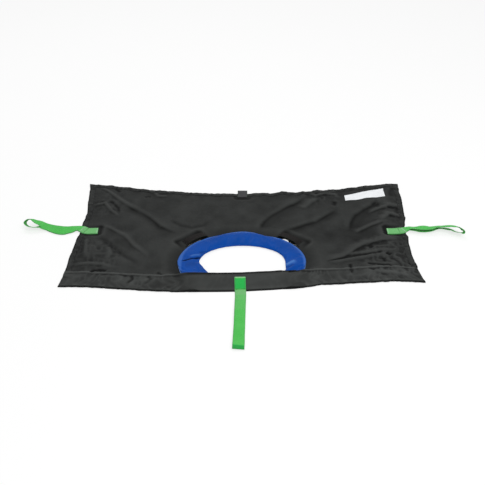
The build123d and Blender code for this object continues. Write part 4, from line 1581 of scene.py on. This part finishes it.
    def execute(self, context):
        values = settings()
        width, thickness = values.webbing_width, values.webbing_thickness
        tacks, seams = [], []
        side_y = (LEFT_TAIL[0].y + LEFT_TAIL[1].y) / 2 / MM
        edge_x = RIGHT_TAIL[1].x / MM
        for side, name, upper, lower in (
            (-1, "left", self.LEFT_UPPER, self.LEFT_LOWER), (1, "right", self.RIGHT_UPPER, self.RIGHT_LOWER),
        ):
            knots = [
                (side * (edge_x + out), side_y + shift, z, tilt) for out, shift, z, tilt in upper + lower
            ]
            piece, laid = strap(f"{name}_pull_loop_webbing", knots, LONG_STRAP_ROWS, (0, 1, 0), width,
                                thickness)
            tone_strap(piece, self.SIDE_TONES)
            start, end = (side * (edge_x - 2) * MM, 0, 0), (side * (edge_x + 13) * MM, 0, 0)
            self.dress(piece, name, "green_webbing", "green_webbing", start, end)
            tacks += [bar_tack(laid, 0.0020, TACK_HALF, 0.003), bar_tack(laid, 0.0405, TACK_HALF, 0.002)]
            seams += tail_seams(laid, 0.0035, 0.0390, 0.0098, 0.0290)
        edge_y = FRONT_TAIL[0].y / MM
        route = self.FRONT_UPPER + self.FRONT_LOWER
        knots = [(shift, edge_y - out, z, tilt) for out, shift, z, tilt in route]
        piece, laid = strap("front_pull_loop_webbing", knots, LONG_STRAP_ROWS, (-1, 0, 0), width, thickness,
                            self.FRONT_CURL)
        tone_strap(piece, self.FRONT_TONES)
        tacks += [bar_tack(laid, 0.0020, 0.0112, 0.003)]
        seams += tail_seams(laid, 0.0045, 0.0320, 0.0100, 0.0325)
        start, end = (0, (edge_y + 1) * MM, 0), (0, (edge_y - 16) * MM, 0)
        self.dress(piece, "front", "green_webbing", "green_webbing", start, end)
        edge_y = REAR_TAIL[1].y / MM
        route = self.REAR_UPPER + self.REAR_LOWER
        knots = [(shift, edge_y + out, z, tilt) for out, shift, z, tilt in route]
        piece, _ = strap("rear_small_loop_webbing", knots, REAR_LOOP_ROWS, (1, 0, 0), width,
                         BLACK_WEBBING_THICKNESS)
        start, end = (0, (edge_y - 1) * MM, 0), (0, (edge_y + 5) * MM, 0)
        self.dress(piece, "rear", "rear_webbing", "black_webbing", start, end)
        made = materials()
        stitch_rows("loop_bar_tacks", tacks, 0.0026, TACK_THREAD, made["green_thread"])
        stitch_rows("loop_seams", seams, 0.0024, SEAM_THREAD, made["deep_green_thread"])
        return {"FINISHED"}

    def dress(self, piece, name, finish, slot, start, end):
        """Gives a loop its finish and shading, hides the model's tail and loop that it stands for, and bakes
        its placement into its mesh.
        """
        finish_piece(piece, materials()[finish], None, angle=STRAP_SMOOTH_ANGLE)
        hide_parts(f"{name}_tail", f"{name}_loop")
        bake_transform(piece)


class TSHEET_OT_label(bpy.types.Operator):
    """Add the bare label by the back hem"""

    bl_idname = "transfer_sheet.label"
    bl_label = "Label"

    # Places of its corners on the sheet, from its front left one round (mm).
    CORNERS = ((264, 260), (362, 279), (366, 321), (264, 286))

    def execute(self, context):
        u, v = np.linspace(0, 1, 90), np.linspace(0, 1, 26)
        points = self.on_sheet(u[None, :], v[:, None], PANEL_TOP + 0.00045)
        piece = shaped_grid("blank_label", points, u * 0.112, v * 0.031)
        apply_modifier(piece, "SOLIDIFY", thickness=0.0003, offset=-1)
        finish_piece(piece, materials()["label_cloth"], "sheet")
        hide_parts("label")
        corners = [(0.016, 0.06), (0.984, 0.06), (0.984, 0.94), (0.016, 0.94), (0.016, 0.06)]
        line = []
        for (a, b), (c, d) in zip(corners, corners[1:]):
            t = np.linspace(0, 1, 60, endpoint=False)
            line.append(self.on_sheet(a + (c - a) * t, b + (d - b) * t, PANEL_TOP + 0.0006))
        rows = [stitch_run(np.concatenate(line), 0.0029)]
        stitch_rows("label_stitches", rows, 0.0021, LABEL_THREAD, materials()["label_cloth"])
        return {"FINISHED"}

    def on_sheet(self, u, v, height):
        """Points of the label: u along it and v up it, from 0 to 1. Its lower edge is wavy."""
        a, b, c, d = (np.array(corner) * MM for corner in self.CORNERS)
        u, v = np.broadcast_arrays(u, v)
        wave = 0.0014 * np.sin(u * 13 + 0.6) * (1 - v) ** 2
        u, v = u[..., None], v[..., None]
        flat = (a * (1 - u) + b * u) * (1 - v) + (d * (1 - u) + c * u) * v
        return draped(raised(flat + wave[..., None] * np.array((0, 1.0)), height))


class TSHEET_OT_stitching(bpy.types.Operator):
    """Add the sewing threads of the hems, the band and the keepers"""

    bl_idname = "transfer_sheet.stitching"
    bl_label = "Stitching"

    def execute(self, context):
        length = settings().stitch_length
        pitch = length * 1.35
        y = np.linspace(front_edge(HALF_WIDTH) + BAND_WIDTH, back_edge(HALF_WIDTH) - 0.016, 400)
        x = np.linspace(-HALF_WIDTH + 0.004, HALF_WIDTH - 0.004, 900)
        lines = [np.stack([side * (side_edge(y) - HEM_SEAM), y], 1) for side in (-1, 1)]
        lines.append(np.stack([x, back_edge(x) - HEM_SEAM], 1))
        rows = [stitch_run(draped(raised(line, HEM_TOP + 0.0001)), pitch) for line in lines]
        stitch_rows("hem_stitches", rows, length, SEAM_THREAD, materials()["black_thread"])
        self.sew_band(length, pitch)
        self.sew_keepers(length, pitch)
        return {"FINISHED"}

    def sew_band(self, length, pitch):
        """A row along the band's inner edge and one along its front edge, beside the ring."""
        rows = []
        for side in (-1, 1):
            for depth in (BAND_WIDTH - 0.0085, 0.0075):
                x = side * np.linspace(0.160, HALF_WIDTH - 0.006, 400)
                y = front_edge(x) + depth
                x = x * side_edge(y) / HALF_WIDTH
                height = np.maximum(band_slope(np.full(x.shape, depth), band_top(x)), 0.0024) + 0.0003
                rows.append(stitch_run(draped(np.stack([x, y, height], 1)), pitch))
        stitch_rows("band_stitches", rows, length, SEAM_THREAD, materials()["black_thread"])

    def sew_keepers(self, length, pitch):
        """A short row across each end of both keepers."""
        across = np.linspace(-0.0110, 0.0110, 30)[:, None]
        rows = []
        for side in (-1, 1):
            middle, away, along = keeper_lie(side)
            for end in (-0.0290, -0.0272, 0.0290, 0.0272):
                line = raised(middle + along * end + away * across, 0.0027)
                rows.append(stitch_run(line, pitch * 0.8))
        thread = materials()["keeper_thread"]
        stitch_rows("keeper_stitches", rows, length * 0.8, SEAM_THREAD, thread)


class TSHEET_PT_panel(bpy.types.Panel):
    """Lists the pieces and their settings"""

    bl_label = "Transfer sheet"
    bl_idname = "TSHEET_PT_panel"
    bl_space_type = "VIEW_3D"
    bl_region_type = "UI"
    bl_category = "Transfer sheet"

    def draw(self, context):
        for operator in OPERATORS:
            self.layout.operator(operator.bl_idname)
        for group in (context.scene.transfer_sheet, context.scene.transfer_sheet_stage):
            for name in group.__annotations__:
                self.layout.prop(group, name)


OPERATORS = (
    TSHEET_OT_stage,
    TSHEET_OT_cloth,
    TSHEET_OT_hems,
    TSHEET_OT_front_band,
    TSHEET_OT_ring,
    TSHEET_OT_keepers,
    TSHEET_OT_pull_loops,
    TSHEET_OT_label,
    TSHEET_OT_stitching,
)
CLASSES = (TransferSheetSettings, TransferSheetStage, *OPERATORS, TSHEET_PT_panel)


def register():
    for item in CLASSES:
        bpy.utils.register_class(item)
    bpy.types.Scene.transfer_sheet = bpy.props.PointerProperty(type=TransferSheetSettings)
    bpy.types.Scene.transfer_sheet_stage = bpy.props.PointerProperty(type=TransferSheetStage)


def unregister():
    del bpy.types.Scene.transfer_sheet_stage
    del bpy.types.Scene.transfer_sheet
    for item in reversed(CLASSES):
        bpy.utils.unregister_class(item)


def main():
    register()
    bpy.ops.transfer_sheet.stage()
    bpy.ops.transfer_sheet.cloth()
    bpy.ops.transfer_sheet.hems()
    bpy.ops.transfer_sheet.front_band()
    bpy.ops.transfer_sheet.ring()
    bpy.ops.transfer_sheet.keepers()
    bpy.ops.transfer_sheet.pull_loops()
    bpy.ops.transfer_sheet.label()
    bpy.ops.transfer_sheet.stitching()


if __name__ == "__main__":
    main()
